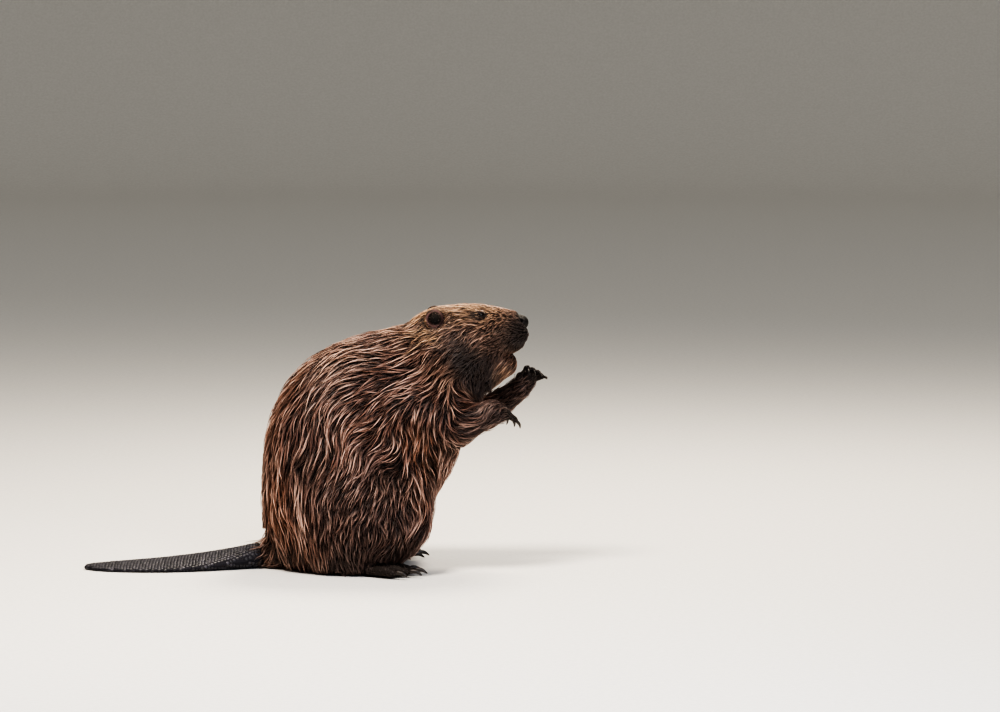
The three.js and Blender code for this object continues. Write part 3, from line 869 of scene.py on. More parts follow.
def ear():
    """A rounded cup with a rolled rim, open outward along its own +Y."""
    long, wide, cup, wall = 27 * MM, 25 * MM, 9 * MM, 2.6 * MM
    profile = []
    for a in np.linspace(0, math.pi / 2, 9):
        profile.append((wide / 2 * math.sin(a), -(cup + 5 * MM) * math.cos(a)))
    for a in np.linspace(0, math.pi, 6)[1:-1]:
        profile.append((wide / 2 - wall / 2 + wall / 2 * math.cos(a), wall / 2 * math.sin(a)))
    for a in np.linspace(math.pi / 2, 0, 8):
        profile.append(((wide / 2 - wall) * math.sin(a), -cup * math.cos(a)))
    co = []
    for r, y in profile:
        for n in range(EAR_SPINS):
            t = 2 * math.pi * n / EAR_SPINS
            co.append((r * math.cos(t) * long / wide, y, r * math.sin(t)))
    return {"flesh": [(co, ring_faces(len(profile), EAR_SPINS))]}


def ear_placed(side, name):
    """An ear leant back, turned to face outward and sunk into the fur, the left one a little deeper."""
    leant = turned(ear(), (0, 40, 0))
    facing = (-14 * side, 0, -26 if side > 0 else 206)
    sunk = np.array((-1.5, -side * 1.0, -3.7 - 1.2 * side)) * MM
    return shifted(placed(leant, facing, f"ear_{name}"), sunk)


def small_forms():
    """The paws, feet and ears in place: lists of flesh parts and of claws."""
    flesh, claws = [], []
    for name, side in SIDES.items():
        arm = ARMS[name]
        hand = placed(forepaw(side, arm["curl"]), arm["turn"], f"forepaw_{name}")
        foot = placed(hind_foot(side), (0, 0, side * 9), f"hind_foot_{name}")
        flesh += hand["flesh"] + foot["flesh"] + ear_placed(side, name)["flesh"]
        claws += hand["claws"] + foot["claws"]
    return flesh, claws


# ---- the skin ------------------------------------------------------------------------------------
# How far from the middle of each of these the coat is at its full depth again.
FACE_REACH = {"nose": 0.034, "eye_right": 0.013, "eye_left": 0.013, "incisors": 0.024}
PRESSED = 0.045  # height up to which the coat of the underside is pressed


def sink(mesh, outline):
    """Lowers a surface under the tips of the coat, by its zone's depth."""
    co = points(mesh)
    depth = zone_weights(outline, co) @ ZONE_TABLE[:, DEPTH] * MM
    # The underside is pressed flat, and the face is nearly bare toward nose, lips and eyes.
    depth *= 0.3 + 0.7 * step(0, PRESSED, co[:, 2])
    for node, reach in FACE_REACH.items():
        depth *= 0.25 + 0.75 * step(reach * 0.5, reach, gap_to(centre(node), co))
    put_points(mesh, co - normals(mesh) * depth[:, None])
    return mesh


def jaw_forms():
    """The jaw, carried back and up into the head so that only the mouth stays open."""
    jaw = swollen(["lower_jaw"], 0.4 * MM)
    co, faces = jaw[0]
    back = [p + Vector((-10 * MM, 0, 4 * MM)) for p in co]
    return jaw + [(back, faces)]


LID_OPENINGS = (42, 56)  # degrees from the middle of the eye to each fold of its lids
LID = 1.15 * MM  # radius of a fold


def lid_ring(side, at, radius, opening):
    """A fold round an eye's opening, almond-shaped, lying on the ball; opening is in degrees."""
    ahead, across, above = EYE_FACES
    out = Vector((ahead, side * across, above)).normalized()
    slant = Vector((1, 0, -0.12))
    along = slant - out * slant.dot(out)
    along.normalize()
    up = out.cross(along) * (1 if out.cross(along).z > 0 else -1)
    path = []
    for n in range(25):
        t = 2 * math.pi * n / 24
        open_angle = math.radians(opening + 10 * math.cos(2 * t) - 6 * max(0, math.sin(t)))
        swing = along * math.cos(t) + up * math.sin(t)
        path.append(at + (out * math.cos(open_angle) + swing * math.sin(open_angle)) * (radius + 0.35 * MM))
    return tube(path, [LID, LID], sides=8, rings=48, blunt=60)


class BEAVER_OT_skin(bpy.types.Operator):
    """Fuse the flesh into one skin that lies inside it by the coat's depth"""

    bl_idname = "beaver.skin"
    bl_label = "Skin"

    def execute(self, context):
        settings = context.scene.beaver_skin
        outline = zone_outline()
        store["outline"] = outline
        torso = sink(smoothed(swollen(TORSO, 0.8 * MM), settings.torso_grain, 70), outline)
        jaw = sink(smoothed(jaw_forms(), 1.6 * MM, 24), outline)
        tail = sink(smoothed(swollen(["tail_blade"], 0.3 * MM), 2 * MM, 30), outline)
        flesh, store["claws"] = small_forms()
        forms = [mesh_part(m) for m in (torso, jaw, tail)] + flesh
        for name, side in SIDES.items():
            ear_bed = centre(f"ear_{name}") - Vector((0, side * 9 * MM, 2 * MM))
            forms.append(ball(ear_bed, (15 * MM, 13 * MM, 15 * MM)))
            low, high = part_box(f"eye_{name}")
            for opening in LID_OPENINGS:
                forms.append(lid_ring(side, (low + high) / 2, (high.x - low.x) / 2, opening))
        mesh = smoothed(forms, settings.grain, 6)
        skin = shown("skin", mesh)
        done = thin_out(skin, min(1.0, settings.triangles / (2 * len(mesh.polygons))))
        done.name = "skin"
        done.polygons.foreach_set("use_smooth", np.ones(len(done.polygons), bool))
        paint_skin(skin, outline)
        done.materials.append(underfur_and_skin())
        store["skin"] = skin
        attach(skin, BODY)
        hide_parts(*FLESH)
        return {"FINISHED"}


def paint_skin(skin, outline):
    """Masks for the skin's material: where wool grows, where the tail's hide is, and the coat's markings."""
    co = points(skin.data)
    weights = zone_weights(outline, co)
    bare = share_of(weights, "forepaw", "hind_foot", "tail_blade") * 1.3
    for side in SIDES:
        bare += step(8.2 * MM, 7.2 * MM, gap_to(centre(f"eye_{side}"), co))
    bare += step(1.45, 1.25, nose_gap(co))
    masks = {
        "furred": 1 - np.clip(bare, 0, 1),
        "tail": share_of(weights, "tail_blade"),
        "ear": share_of(weights, "ear") * ear_rim(co),
        **markings(co, weights @ ZONE_TABLE),
    }
    for name, values in masks.items():
        set_values(skin.data, name, values)


# ---- the coat --------------------------------------------------------------------------------------
# Long guard hair in wet locks over softer underhair and wool, and velvet where the coat is short. Each
# has its share of the zone's spacing, length, width and height, its rings, hairs to a lock, and paleness.
# The low paleness of underhair and wool is partly their darker colour, partly painted shade down between the
# locks.
LAYER_VALUES = ("where", "spacing", "length", "width", "height", "rings", "hairs", "shade")
LAYERS = {
    "lock": ("long", 0.88, 1.0, 0.88, 1.0, 7, 4, 1.0),
    "under": ("long", 0.42, 0.55, 1.1, 0.66, 3, 1, 0.24),
    "wool": ("long", 0.5, 0.34, 1.7, 0.4, 2, 1, 0.06),
    "velvet": ("short", 0.4, 0.38, 0.75, 0.75, 3, 4, 0.7),
}
UNWRAP_FACES = 9000  # faces of the light copy that is laid flat
PATCH = 0.003  # width on the unwrap of one hair's patch
HEIGHT_SPLIT = 0.215  # the coat's pieces part at this height
BACK_SPLIT = 0.058  # and at this distance ahead of the origin
CELL = 0.004  # size of a cell of the order in which roots are picked
LOWEST_LOCK = 0.0008  # height of a lock's line over the floor, at least
LOWEST_HAIR = 0.0004  # height of a hair's corner over the floor, at least
# Short dark fur of the cheek and throat, and the throat's ruff: places and reaches in mm.
CHEEK = ((222, 42, 335), 36)
THROAT = ((246, 30, 300), 40)
RUFF = ((252, 22, 258), 34)


def unwrap(skin):
    """The skin's own shape laid flat: a light copy, its UVs and a tree to find a place on it."""
    light = skin.copy()
    light.data = skin.data.copy()
    bpy.context.scene.collection.objects.link(light)
    thin_out(light, UNWRAP_FACES / len(light.data.polygons))
    bpy.context.view_layer.objects.active = light
    for other in bpy.context.selected_objects:
        other.select_set(False)
    light.select_set(True)
    bpy.ops.object.mode_set(mode="EDIT")
    bpy.ops.mesh.select_all(action="SELECT")
    bpy.ops.uv.smart_project(angle_limit=math.radians(70), island_margin=0.002)
    bpy.ops.object.mode_set(mode="OBJECT")
    mesh = light.data
    mesh.calc_loop_triangles()
    corners = gather(mesh.loop_triangles, "vertices", 3, int)
    loops = gather(mesh.loop_triangles, "loops", 3, int)
    uv = gather(mesh.uv_layers.active.data, "uv", 2)
    co = points(mesh)
    tree = BVHTree.FromPolygons(co.tolist(), corners.tolist())
    bpy.data.objects.remove(light)
    return tree, co, corners, uv[loops]


def flat_places(flat, p):
    """Where points of the skin come on its unwrap."""
    tree, co, corners, uv = flat
    hits = [tree.find_nearest(q) for q in p]
    face = np.array([h[2] for h in hits])
    q = np.array([h[0] for h in hits])
    a, b, c = (co[corners[face, k]] for k in range(3))
    facing = ((b, c), (c, a), (a, b))
    shares = np.stack([np.linalg.norm(np.cross(v - q, w - q), axis=1) for v, w in facing], axis=1)
    shares /= np.maximum(shares.sum(axis=1, keepdims=True), 1e-12)
    return (uv[face] * shares[:, :, None]).sum(axis=1)


def bare_share(weights):
    """How far each place is paw, foot, ear or tail, whose zone values are those of short hair already."""
    return share_of(weights, "forepaw", "hind_foot", "ear", "tail_blade")


def short_share(p, weights):
    """Where short velvet stands in for long locks: muzzle, dark cheek and throat, ears, paws and feet."""
    face = step(0.24, 0.275, p[:, 0]) * step(0.312, 0.33, p[:, 2])
    cheek = 0.8 * np.maximum(near(p, *CHEEK), near(p, *THROAT))
    return np.clip(np.maximum(bare_share(weights), np.maximum(face, cheek)), 0, 1)


def layer_shares(layer, name, weights):
    """A layer's share of a zone's value at each root."""
    if layer["where"] == "short":
        return layer[name] + (1 - layer[name]) * np.clip(bare_share(weights), 0, 1)
    return np.full(len(weights), layer[name])


def scatter(mesh, coat, layer, density, rng):
    """Roots of one layer spread evenly over the skin, at each zone's own spacing."""
    mesh.calc_loop_triangles()
    corners = gather(mesh.loop_triangles, "vertices", 3, int)
    co = points(mesh)
    a, b, c = (co[corners[:, k]] for k in range(3))
    cross = np.cross(b - a, c - a)
    middle = (a + b + c) / 3
    values, weights = coat.zone(middle)
    spacing = values[:, SPACING] * layer_shares(layer, "spacing", weights) * MM
    wanted = np.linalg.norm(cross, axis=1) / 2 / spacing**2 * density
    short = short_share(middle, weights)
    wanted *= short if layer["where"] == "short" else 1 - short
    wanted *= growth(middle, unit(cross))
    order = np.argsort(morton(middle))
    total = np.cumsum(wanted[order])
    picks = order[np.searchsorted(total, np.arange(rng.random(), total[-1], 1.0))]
    u, v = rng.random(len(picks)), rng.random(len(picks))
    flip = u + v > 1
    u[flip], v[flip] = 1 - u[flip], 1 - v[flip]
    return a[picks] + (b - a)[picks] * u[:, None] + (c - a)[picks] * v[:, None]


def morton(p):
    """An order in which neighbours in space stay neighbours."""
    cell = ((p - p.min(0)) / CELL).astype(np.int64)
    code = np.zeros(len(p), np.int64)
    for bit in range(9):
        for k in range(3):
            code |= ((cell[:, k] >> bit) & 1) << (3 * bit + k)
    return code


def growth(p, facing):
    """1 where hair grows, less in the ears, and 0 on the lids, nose and lips and under what rests."""
    grows = np.where((p[:, 2] < 0.004) & (facing[:, 2] < -0.5), 0.0, 1.0)
    grows *= step(1.16, 1.28, nose_gap(p))
    for middle, out, rim, inside in OPENINGS:
        grows *= np.where((gap_to(middle, p) < rim * 1.08) & (facing @ out > 0.1), inside, 1.0)
    gap = np.linalg.norm((p - np.array(centre("incisors"))) * (1, 0.8, 1), axis=1)
    return grows * step(0.006, 0.012, gap)


class BEAVER_OT_coat(bpy.types.Operator):
    """Grow the wet coat in locks of a few hairs that run together toward their tips"""

    bl_idname = "beaver.coat"
    bl_label = "Coat"

    def execute(self, context):
        settings = context.scene.beaver_coat
        rng = np.random.default_rng(11)
        skin = store["skin"]
        coat = Coat(skin, store["outline"])
        flat = unwrap(skin)
        made = {}
        density = settings.density * 1.0
        for row in LAYERS.values():
            layer = dict(zip(LAYER_VALUES, row))
            roots = scatter(skin.data, coat, layer, density, rng)
            locks = grow_locks(coat, roots, layer, settings.length, rng)
            for name, mine in coat_regions(locks["root"], locks["weights"]).items():
                if mine.any():
                    made.setdefault(name, []).append(hairs(locks, np.where(mine)[0], layer, flat, rng))
        material = wet_guard_hair()
        for name, parts in made.items():
            piece = spikes(name, parts)
            piece.data.materials.append(material)
            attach(piece, BODY)
        return {"FINISHED"}


def grow_locks(coat, roots, layer, stretch, rng):
    """The line of each lock, lying along the skin and rising to the coat's surface."""
    values, weights = coat.zone(roots)
    count, rings = len(roots), layer["rings"]
    long = values[:, LENGTH] * MM * layer_shares(layer, "length", weights)
    long *= stretch * rng.uniform(0.7, 1.25, count)
    lift = values[:, DEPTH] * MM * layer["height"] * rng.uniform(0.5, 1.05, count)
    # The ruff of the throat stands up between the chin and the raised arm.
    lift *= 1 + 2.2 * near(roots, *RUFF)
    sway = rng.normal(0, 0.15, count)
    wave = rng.uniform(0.04, 0.26, count)
    phase = rng.uniform(0, 2 * math.pi, count)
    line = np.empty((count, rings + 1, 3))
    ups = np.empty_like(line)
    base, normal = coat.nearest(roots)
    line[:, 0], ups[:, 0] = base, normal
    for k in range(1, rings + 1):
        t = k / rings
        way = coat.lie(base, normal)
        across = np.cross(normal, way)
        bend = sway + wave * np.sin(phase + long * t * 2 * math.pi / WAVE)
        way = way * np.cos(bend)[:, None] + across * np.sin(bend)[:, None]
        base, normal = coat.nearest(base + way * (long / rings)[:, None])
        line[:, k] = base
        ups[:, k] = normal
    # Creases of the skin would kink a lock, so its line and its up direction are evened out.
    for _ in range(3):
        for row in (line, ups):
            row[:, 1:-1] += 0.5 * ((row[:, :-2] + row[:, 2:]) / 2 - row[:, 1:-1])
    ups = unit(ups)
    t = np.arange(rings + 1) / rings
    rise = np.sin(np.minimum(t * 1.5, 1.0) * math.pi / 2) - 0.12 * t**4
    line += ups * (lift[:, None] * rise[None])[:, :, None]
    # Hair that would cross an eye or fill an ear stays short.
    for middle, out, rim, _ in OPENINGS:
        depth = (line - middle) @ out
        reach = np.linalg.norm(line - middle - out * depth[:, :, None], axis=2)
        over = ((reach < rim) & (np.abs(depth) < rim * 1.5)).any(axis=1)
        line[over] = line[over, :1] + (line[over] - line[over, :1]) * 0.35
    line[:, :, 2] = np.maximum(line[:, :, 2], LOWEST_LOCK)
    return {"root": line[:, 0], "line": line, "up": ups, "values": values, "weights": weights}


def coat_regions(root, weights):
    """Which locks go in which piece, so that each stays small."""
    head = share_of(weights, "head", "lower_jaw", "ear") > 0.5
    paws = ~head & (share_of(weights, "forearm", "forepaw", "hind_foot") > 0.5)
    rest = ~head & ~paws
    right = root[:, 1] < 0
    high = root[:, 2] > HEIGHT_SPLIT
    back = root[:, 0] < BACK_SPLIT
    pieces = {}
    for side, on_side in (("right", right), ("left", ~right)):
        pieces[f"coat_limbs_{side}"] = paws & on_side
        pieces[f"coat_head_{side}"] = head & on_side
        pieces[f"coat_withers_{side}"] = rest & on_side & high & back
        pieces[f"coat_shoulder_{side}"] = rest & on_side & high & ~back
        pieces[f"coat_rump_{side}"] = rest & on_side & ~high & back
        pieces[f"coat_flank_{side}"] = rest & on_side & ~high & ~back
    return pieces


def hairs(locks, rows, layer, flat, rng):
    """The hairs of some locks: slim three-sided spikes that start apart and close to one ridge."""
    rings, each = layer["rings"], layer["hairs"]
    of = np.repeat(rows, each)
    slot = np.tile(np.arange(each) - (each - 1) / 2, len(rows))
    count = len(of)
    values, weights = locks["values"][of], locks["weights"][of]
    t = np.arange(rings + 1) / rings
    # The hairs of a lock end at different places along it.
    at = t[None] * rng.uniform(0.74, 1.0, count)[:, None] * rings
    low = np.minimum(at.astype(int), rings - 1)
    part = (at - low)[:, :, None]
    hair = np.arange(count)[:, None]
    line, up = (
        row[hair, low] * (1 - part) + row[hair, low + 1] * part
        for row in (locks["line"][of], locks["up"][of])
    )
    along = unit(np.gradient(line, axis=1))
    side = unit(np.cross(along, up))
    up = np.cross(side, along)
    turn = rng.uniform(0, 2 * math.pi, count)
    spacing = values[:, SPACING] * layer_shares(layer, "spacing", weights) * MM
    spread = spacing * 0.45 * np.sqrt(rng.random(count))
    shift = side[:, 0] * (np.cos(turn) * spread)[:, None] + along[:, 0] * (np.sin(turn) * spread)[:, None]
    width = values[:, WIDTH] * layer_shares(layer, "width", weights) * MM
    thick = width * 0.5 * rng.uniform(0.75, 1.3, count)
    line = line + shift[:, None] * ((1 - t) ** 2)[None, :, None]
    fray = 0.5 * np.sin(turn[:, None] * 3 + t[None] * 7)
    abreast = thick[:, None] * (slot[:, None] + fray) * (np.minimum(t * 4, 1) * (1 - 0.75 * t))[None]
    line += side * abreast[:, :, None]
    line -= up * (np.abs(slot) * 0.55 * thick)[:, None, None]
    breadth = np.minimum(1, 0.7 + t * 1.5) * (1 - t**2.2)
    r = thick[:, None] * breadth[None, :rings]
    across = np.array([0.0, 1.0, -1.0])
    rise = np.array([0.8, -0.35, -0.35])
    ring = line[:, :rings, None] + r[:, :, None, None] * (
        side[:, :rings, None] * across[None, None, :, None] + up[:, :rings, None] * rise[None, None, :, None]
    )
    co = np.concatenate([ring.reshape(count, rings * 3, 3), line[:, rings:]], axis=1)
    co[:, :, 2] = np.maximum(co[:, :, 2], LOWEST_HAIR)
    faces = []
    for k in range(rings - 1):
        for s in range(3):
            a, b = 3 * k + s, 3 * k + (s + 1) % 3
            faces.append((a, a + 3, b + 3, b))
    tip = 3 * rings
    faces += [(tip - 3 + s, tip, tip - 3 + (s + 1) % 3) for s in range(3)]
    root = locks["root"][of]
    # Outer hairs of a lock are darker than its middle ones: a painted highlight along the lock's ridge and
    # painted shade on its flanks.
    shade = layer["shade"] * lock_shade(locks, of, rng) * (1 - 0.27 * np.abs(slot))
    layers = {
        "along": np.tile(np.append(np.repeat(t[:rings], 3), 1.0), (count, 1)),
        # 1 on each hair's upper edge, where the material paints a highlight.
        "crest_highlight": np.tile(np.append(np.tile([1.0, 0.0, 0.0], rings), 0.7), (count, 1)),
        "lock": shade[:, None],
    }
    for name, mark in markings(root, values).items():
        layers[name] = mark[:, None]
    patch = np.zeros((3 * rings + 1, 2))
    patch[:, 1] = layers["along"][0] - 0.5
    patch[:-1, 0] = np.tile([0.0, 0.5, -0.5], rings)
    uv = flat_places(flat, root)[:, None] + patch[None] * PATCH
    return co, faces, layers, uv


def lock_shade(locks, of, rng):
    """How pale a hair's end is, partly bleached hair and partly painted sheen of the wet locks: mostly its
    lock's own chance, in patches over the body.
    """
    own = rng.random(len(locks["root"]))[of] ** 1.3
    single = rng.random(len(of))
    return np.clip(0.1 + 0.8 * own + 0.12 * single + 0.14 * ripple(locks["root"][of], 0.03, 3), 0, 1)


def near(p, place, reach):
    """1 at a place in mm, fading to 0 at its reach in mm; the place is mirrored to both sides."""
    return step(1.0, 0.25, gap_to(np.array(place) * MM, on_left(p)) / (reach * MM))


def markings(p, values):
    """The coat's pale, warm and dusky shares at each point, which the wool under it shares: pale partly
    painted light on top, dusky partly painted shade in hollows and underneath.
    """
    marks = {
        "pale_and_lit": values[:, PALE] + pale_and_lit_places(p),
        "warm": values[:, WARM] + warm_places(p),
        "dusk_and_shade": values[:, DUSK] + dusk_and_shade_places(p),
    }
    return {name: np.clip(mark, 0, 1) for name, mark in marks.items()}


# Patches of the markings: a place and its reach in mm, and the share of the colour at its middle.
PALE_AND_LIT_PATCHES = [
    ((166, 46, 354), 24, 0.7),  # streak behind the ear
    ((186, 48, 350), 18, 0.7),  # streak under the ear
    # The back's patch is painted light on its top.
    ((40, 30, 330), 90, 0.25),  # top of the back
    ((290, 20, 300), 32, 0.35),  # chin
]
WARM_PATCHES = [
    ((151, 92, 215), 34, 0.6),  # strip behind the elbow, upper part
    ((162, 90, 175), 30, 0.6),  # strip behind the elbow, lower part
    ((-60, 70, 90), 110, 0.35),  # rump
    ((190, 0, 170), 70, 0.3),  # chest
]
DUSK_AND_SHADE_PATCHES = [
    # The throat's patch is painted shade in the hollow under the jaw.
    ((246, 28, 295), 60, 0.9),  # throat
    ((220, 45, 333), 42, 0.85),  # cheek
    ((0, 105, 170), 45, 0.35),  # grey patch of the flank
    # The ear's patch is painted shade in its hollow.
    ((180, 41, 374), 12, 0.6),  # hollow of the ear
    ((308, 4, 356), 44, 0.9),  # front of the muzzle
    ((290, 24, 350), 38, 0.45),  # side of the muzzle
    ((247, 35, 382), 15, 0.5),  # round the eye
]


def patches(p, rows):
    """The share that some patches add at each point."""
    return sum(share * near(p, place, reach) for place, reach, share in rows)


def pale_and_lit_places(p):
    """The crown and nape, paler on top as painted light, and the pale patches."""
    crown = step(0.35, 0.388, p[:, 2]) * step(0.09, 0.16, p[:, 0]) * step(0.315, 0.265, p[:, 0])
    return 0.6 * crown + patches(p, PALE_AND_LIT_PATCHES)


def warm_places(p):
    """The rusty patches, and a faint rust that comes and goes all over."""
    return patches(p, WARM_PATCHES) + 0.2 * ripple(p, 0.05, 9)


def dusk_and_shade_places(p):
    """The dark patches, and painted shade low on the belly toward the floor."""
    return patches(p, DUSK_AND_SHADE_PATCHES) + 0.3 * step(0.09, 0.02, p[:, 2])


def spikes(name, parts):
    """One mesh of many spikes, with a value for each and a patch of the unwrap for each."""
    start, loops, sizes, uvs = 0, [], [], []
    for co, faces, _, uv in parts:
        count, each = co.shape[:2]
        first = start + (np.arange(count) * each)[:, None]
        local = np.concatenate([np.array(face) for face in faces])
        loops.append((first + local[None]).ravel())
        uvs.append(uv[:, local].reshape(-1, 2))
        sizes.append(np.tile([len(face) for face in faces], count))
        start += count * each
    loops, sizes, uvs = (np.concatenate(x) for x in (loops, sizes, uvs))
    mesh = bpy.data.meshes.new(name)
    mesh.vertices.add(start)
    mesh.vertices.foreach_set("co", np.concatenate([co.reshape(-1, 3) for co, *_ in parts]).ravel())
    mesh.loops.add(len(loops))
    mesh.loops.foreach_set("vertex_index", loops)
    mesh.polygons.add(len(sizes))
    mesh.polygons.foreach_set("loop_start", np.concatenate([[0], np.cumsum(sizes)[:-1]]))
    mesh.update(calc_edges=True)
    for layer_name in parts[0][2]:
        full = [np.broadcast_to(layers[layer_name], co.shape[:2]).ravel() for co, _, layers, _ in parts]
        set_values(mesh, layer_name, np.concatenate(full))
    mesh.uv_layers.new(name="OFBake").uv.foreach_set("vector", uvs.ravel())
    return shown(name, mesh)


# ---- claws, eyes, nose, teeth and whiskers ---------------------------------------------------------------
class BEAVER_OT_claws(bpy.types.Operator):
    """Set the twenty claws"""

    bl_idname = "beaver.claws"
    bl_label = "Claws"

    def execute(self, context):
        # Keratin horn: near black, semi-gloss, worn lighter in streaks.
        tones = [(0.3, tuple(context.scene.beaver_parts.horn)), (0.8, linear("372C26"))]
        made = mottled("Claw horn", 1 / 0.003, 4.0, tones, Roughness=0.45, IOR=1.54)
        piece = joined("claws", store["claws"])
        piece.data.materials.append(made)
        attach(piece, BODY)
        return {"FINISHED"}


CORNEA = 0.35 * MM  # how far the cornea bulges


def eyeball(at, radius, side):
    """A ball with the cornea's bulge where it looks out between the lids."""
    co, faces = ball(at, (radius,) * 3, detail=4)
    spoke = unit(np.array(co) - np.array(at))
    bulge = CORNEA * step(0.74, 0.95, spoke @ outward(EYE_FACES, side))
    return co + spoke * bulge[:, None], faces


class BEAVER_OT_eyes(bpy.types.Operator):
    """Set the two wet eyes"""

    bl_idname = "beaver.eyes"
    bl_label = "Eyes"

    def execute(self, context):
        # Cornea and tear film: very dark brown iris seen through a clear wet surface.
        tones = [(0.4, linear("060403")), (0.75, linear("24140C"))]
        made = mottled("Wet eye", 9.0, 5.0, tones, space="Generated", Roughness=0.08, IOR=1.38)
        for name, side in SIDES.items():
            low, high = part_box(f"eye_{name}")
            eye = joined(f"eyeball_{name}", [eyeball((low + high) / 2, (high.x - low.x) / 2, side)])
            eye.data.materials.append(made)
            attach(eye, BODY)
            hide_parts(f"eye_{name}")
        return {"FINISHED"}


NOSTRIL = np.array((-1.2, 13.5, 2.6)) * MM  # the left one, from the pad's middle
NOSTRIL_DEEP = 5 * MM
NOSE_PITCH = (0, 24, 0)


class BEAVER_OT_nose(bpy.types.Operator):
    """Shape the nose pad with its two nostrils"""

    bl_idname = "beaver.nose"
    bl_label = "Nose"

    def execute(self, context):
        # Rhinarium: hairless moist leather with a pebbled grain about 0.8 mm across.
        made, tree, shader = new_material("Nose leather", Roughness=0.6, Specular_IOR_Level=0.35)
        place = add(tree, "ShaderNodeTexCoord").outputs["Object"]
        pebble = add(tree, "ShaderNodeTexVoronoi", {"Vector": place, "Scale": 1 / 0.0008})
        # The grain is lighter on its pebbles and darker in the grooves between them: painted light and shade.
        shade = add(
            tree,
            "ShaderNodeValToRGB",
            {"Fac": pebble.outputs["Distance"]},
            stops=[(0.0, linear("231E1C")), (0.6, tuple(context.scene.beaver_parts.nose))],
        )
        tree.links.new(shade.outputs["Color"], shader.inputs["Base Color"])
        bump = add(
            tree,
            "ShaderNodeBump",
            {"Height": pebble.outputs["Distance"], "Strength": 0.8, "Distance": 0.0003},
            invert=True,
        )
        tree.links.new(bump.outputs["Normal"], shader.inputs["Normal"])
        deep, wide, tall = NOSE_HALF
        root = NOSE - np.array((5.5, 0, 0.5)) * MM
        forms = [ball(NOSE, (deep, wide * 0.8, tall), NOSE_PITCH, detail=4)]
        forms.append(ball(root, (deep * 0.9, wide * 1.12, tall * 1.2), NOSE_PITCH, detail=4))
        for side in SIDES.values():
            wing = NOSE + np.array((-2.5 * MM, side * wide * 0.5, 0))
            forms.append(ball(wing, (deep * 0.88, wide * 0.5, tall * 0.82), NOSE_PITCH, detail=4))
        mesh = smoothed(forms, 0.7 * MM, 16)
        co, out = points(mesh), normals(mesh)
        for side in SIDES.values():
            hole = NOSE + NOSTRIL * (1, side, 1)
            gap = np.linalg.norm((co - hole) / np.array((1.15, 1.0, 0.7)), axis=1)
            co = co - out * (step(5.2 * MM, 2.4 * MM, gap) * NOSTRIL_DEEP)[:, None]
            ring = np.exp(-(((gap - 6.4 * MM) / (1.6 * MM)) ** 2))
            co = co + out * (ring * 0.6 * MM)[:, None]
        low_down = step(NOSE[2] + 4 * MM, NOSE[2] - 5 * MM, co[:, 2])
        groove = np.exp(-((co[:, 1] / (0.8 * MM)) ** 2)) * low_down
        co = co - out * (groove * 1.0 * MM)[:, None]
        put_points(mesh, co)
        nose = shown("nose_pad", mesh, made)
        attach(nose, BODY)
        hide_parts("nose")
        return {"FINISHED"}


class BEAVER_OT_teeth(bpy.types.Operator):
    """Set the upper incisors"""

    bl_idname = "beaver.teeth"
    bl_label = "Incisors"

    def execute(self, context):
        # Iron-stained enamel: orange and glossy, mottled every 2 mm.
        tones = [(0.3, tuple(context.scene.beaver_parts.enamel)), (0.8, linear("A87843"))]
        made = mottled("Iron enamel", 1 / 0.002, 2.0, tones, Roughness=0.22, IOR=1.62)
        low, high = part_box("incisors")
        wide, deep = (high.y - low.y) / 4, (high.x - low.x) / 2
        forms = []
        for side in SIDES.values():
            path = [
                (low.x + deep + ahead * MM, side * wide, low.z + (high.z - low.z) * share)
                for share, ahead in ((1.0, -1.5), (0.7, 0.3), (0.4, 1.2), (0.1, 0.8))
            ]
            forms.append(tube(path, [wide * 0.97, wide * 0.97, wide * 0.9], sides=16, rings=20, blunt=26))
        teeth = joined("upper_incisors", forms)
        teeth.data.materials.append(made)
        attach(teeth, BODY)
        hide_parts("incisors")
        return {"FINISHED"}


WHISKER_ROWS = 4
WHISKERS_IN_ROW = 5


def whisker(root, out, droop, long):
    """A stiff hair that leaves the skin along out and sags toward its tip."""
    path = [root + out * (long * t) + droop * (long * t * t * 0.6) for t in np.linspace(0, 1, 6)]
    return tube(path, np.array([0.42, 0.34, 0.22, 0.08]) * MM, sides=5, rings=10, blunt=30)


class BEAVER_OT_whiskers(bpy.types.Operator):
    """Set the whiskers on both sides of the muzzle"""

    bl_idname = "beaver.whiskers"
    bl_label = "Whiskers"

    def execute(self, context):
        # Vibrissae: stiff dark keratin, thick at the root and drawn out to nothing.
        tones = [(0.3, linear("17120F")), (0.7, linear("5B4A3F"))]
        made = mottled("Whisker keratin", 1 / 0.01, 2.0, tones, Roughness=0.35, IOR=1.54)
        rng = np.random.default_rng(4)
        longest = context.scene.beaver_parts.whisker
        skin_tree = BVHTree.FromPolygons(*mesh_part(store["skin"].data))
        nose = centre("nose")
        parts = []
        for side in SIDES.values():
            for row in range(WHISKER_ROWS):
                for n in range(WHISKERS_IN_ROW):
                    inside = nose + Vector((-(15 + 6.5 * n + 2 * row) * MM, 0, -(4 + 6 * row) * MM))
                    hit = skin_tree.ray_cast(inside, Vector((0, side, -0.12)))
                    if hit[0] is None:
                        continue
                    long = longest * (0.35 + 0.13 * n) * rng.uniform(0.8, 1.1)
                    out = Vector((-0.35 - 0.12 * n, side * 0.85, -0.12 * row)).normalized()
                    droop = Vector((-0.25, 0, -0.5)) * rng.uniform(0.6, 1.2)
                    parts.append(whisker(hit[0], out, droop, long))
        piece = joined("whiskers", parts)
        piece.data.materials.append(made)
        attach(piece, BODY)
        return {"FINISHED"}


SCALE_COLUMNS = range(-13, 14)  # across the tail, from its midline
SCALE_STEP = 0.75  # share of a scale's length that the next one leaves bare
LOWEST_SCALE = 0.0003  # height of a scale's corner over the floor, at least


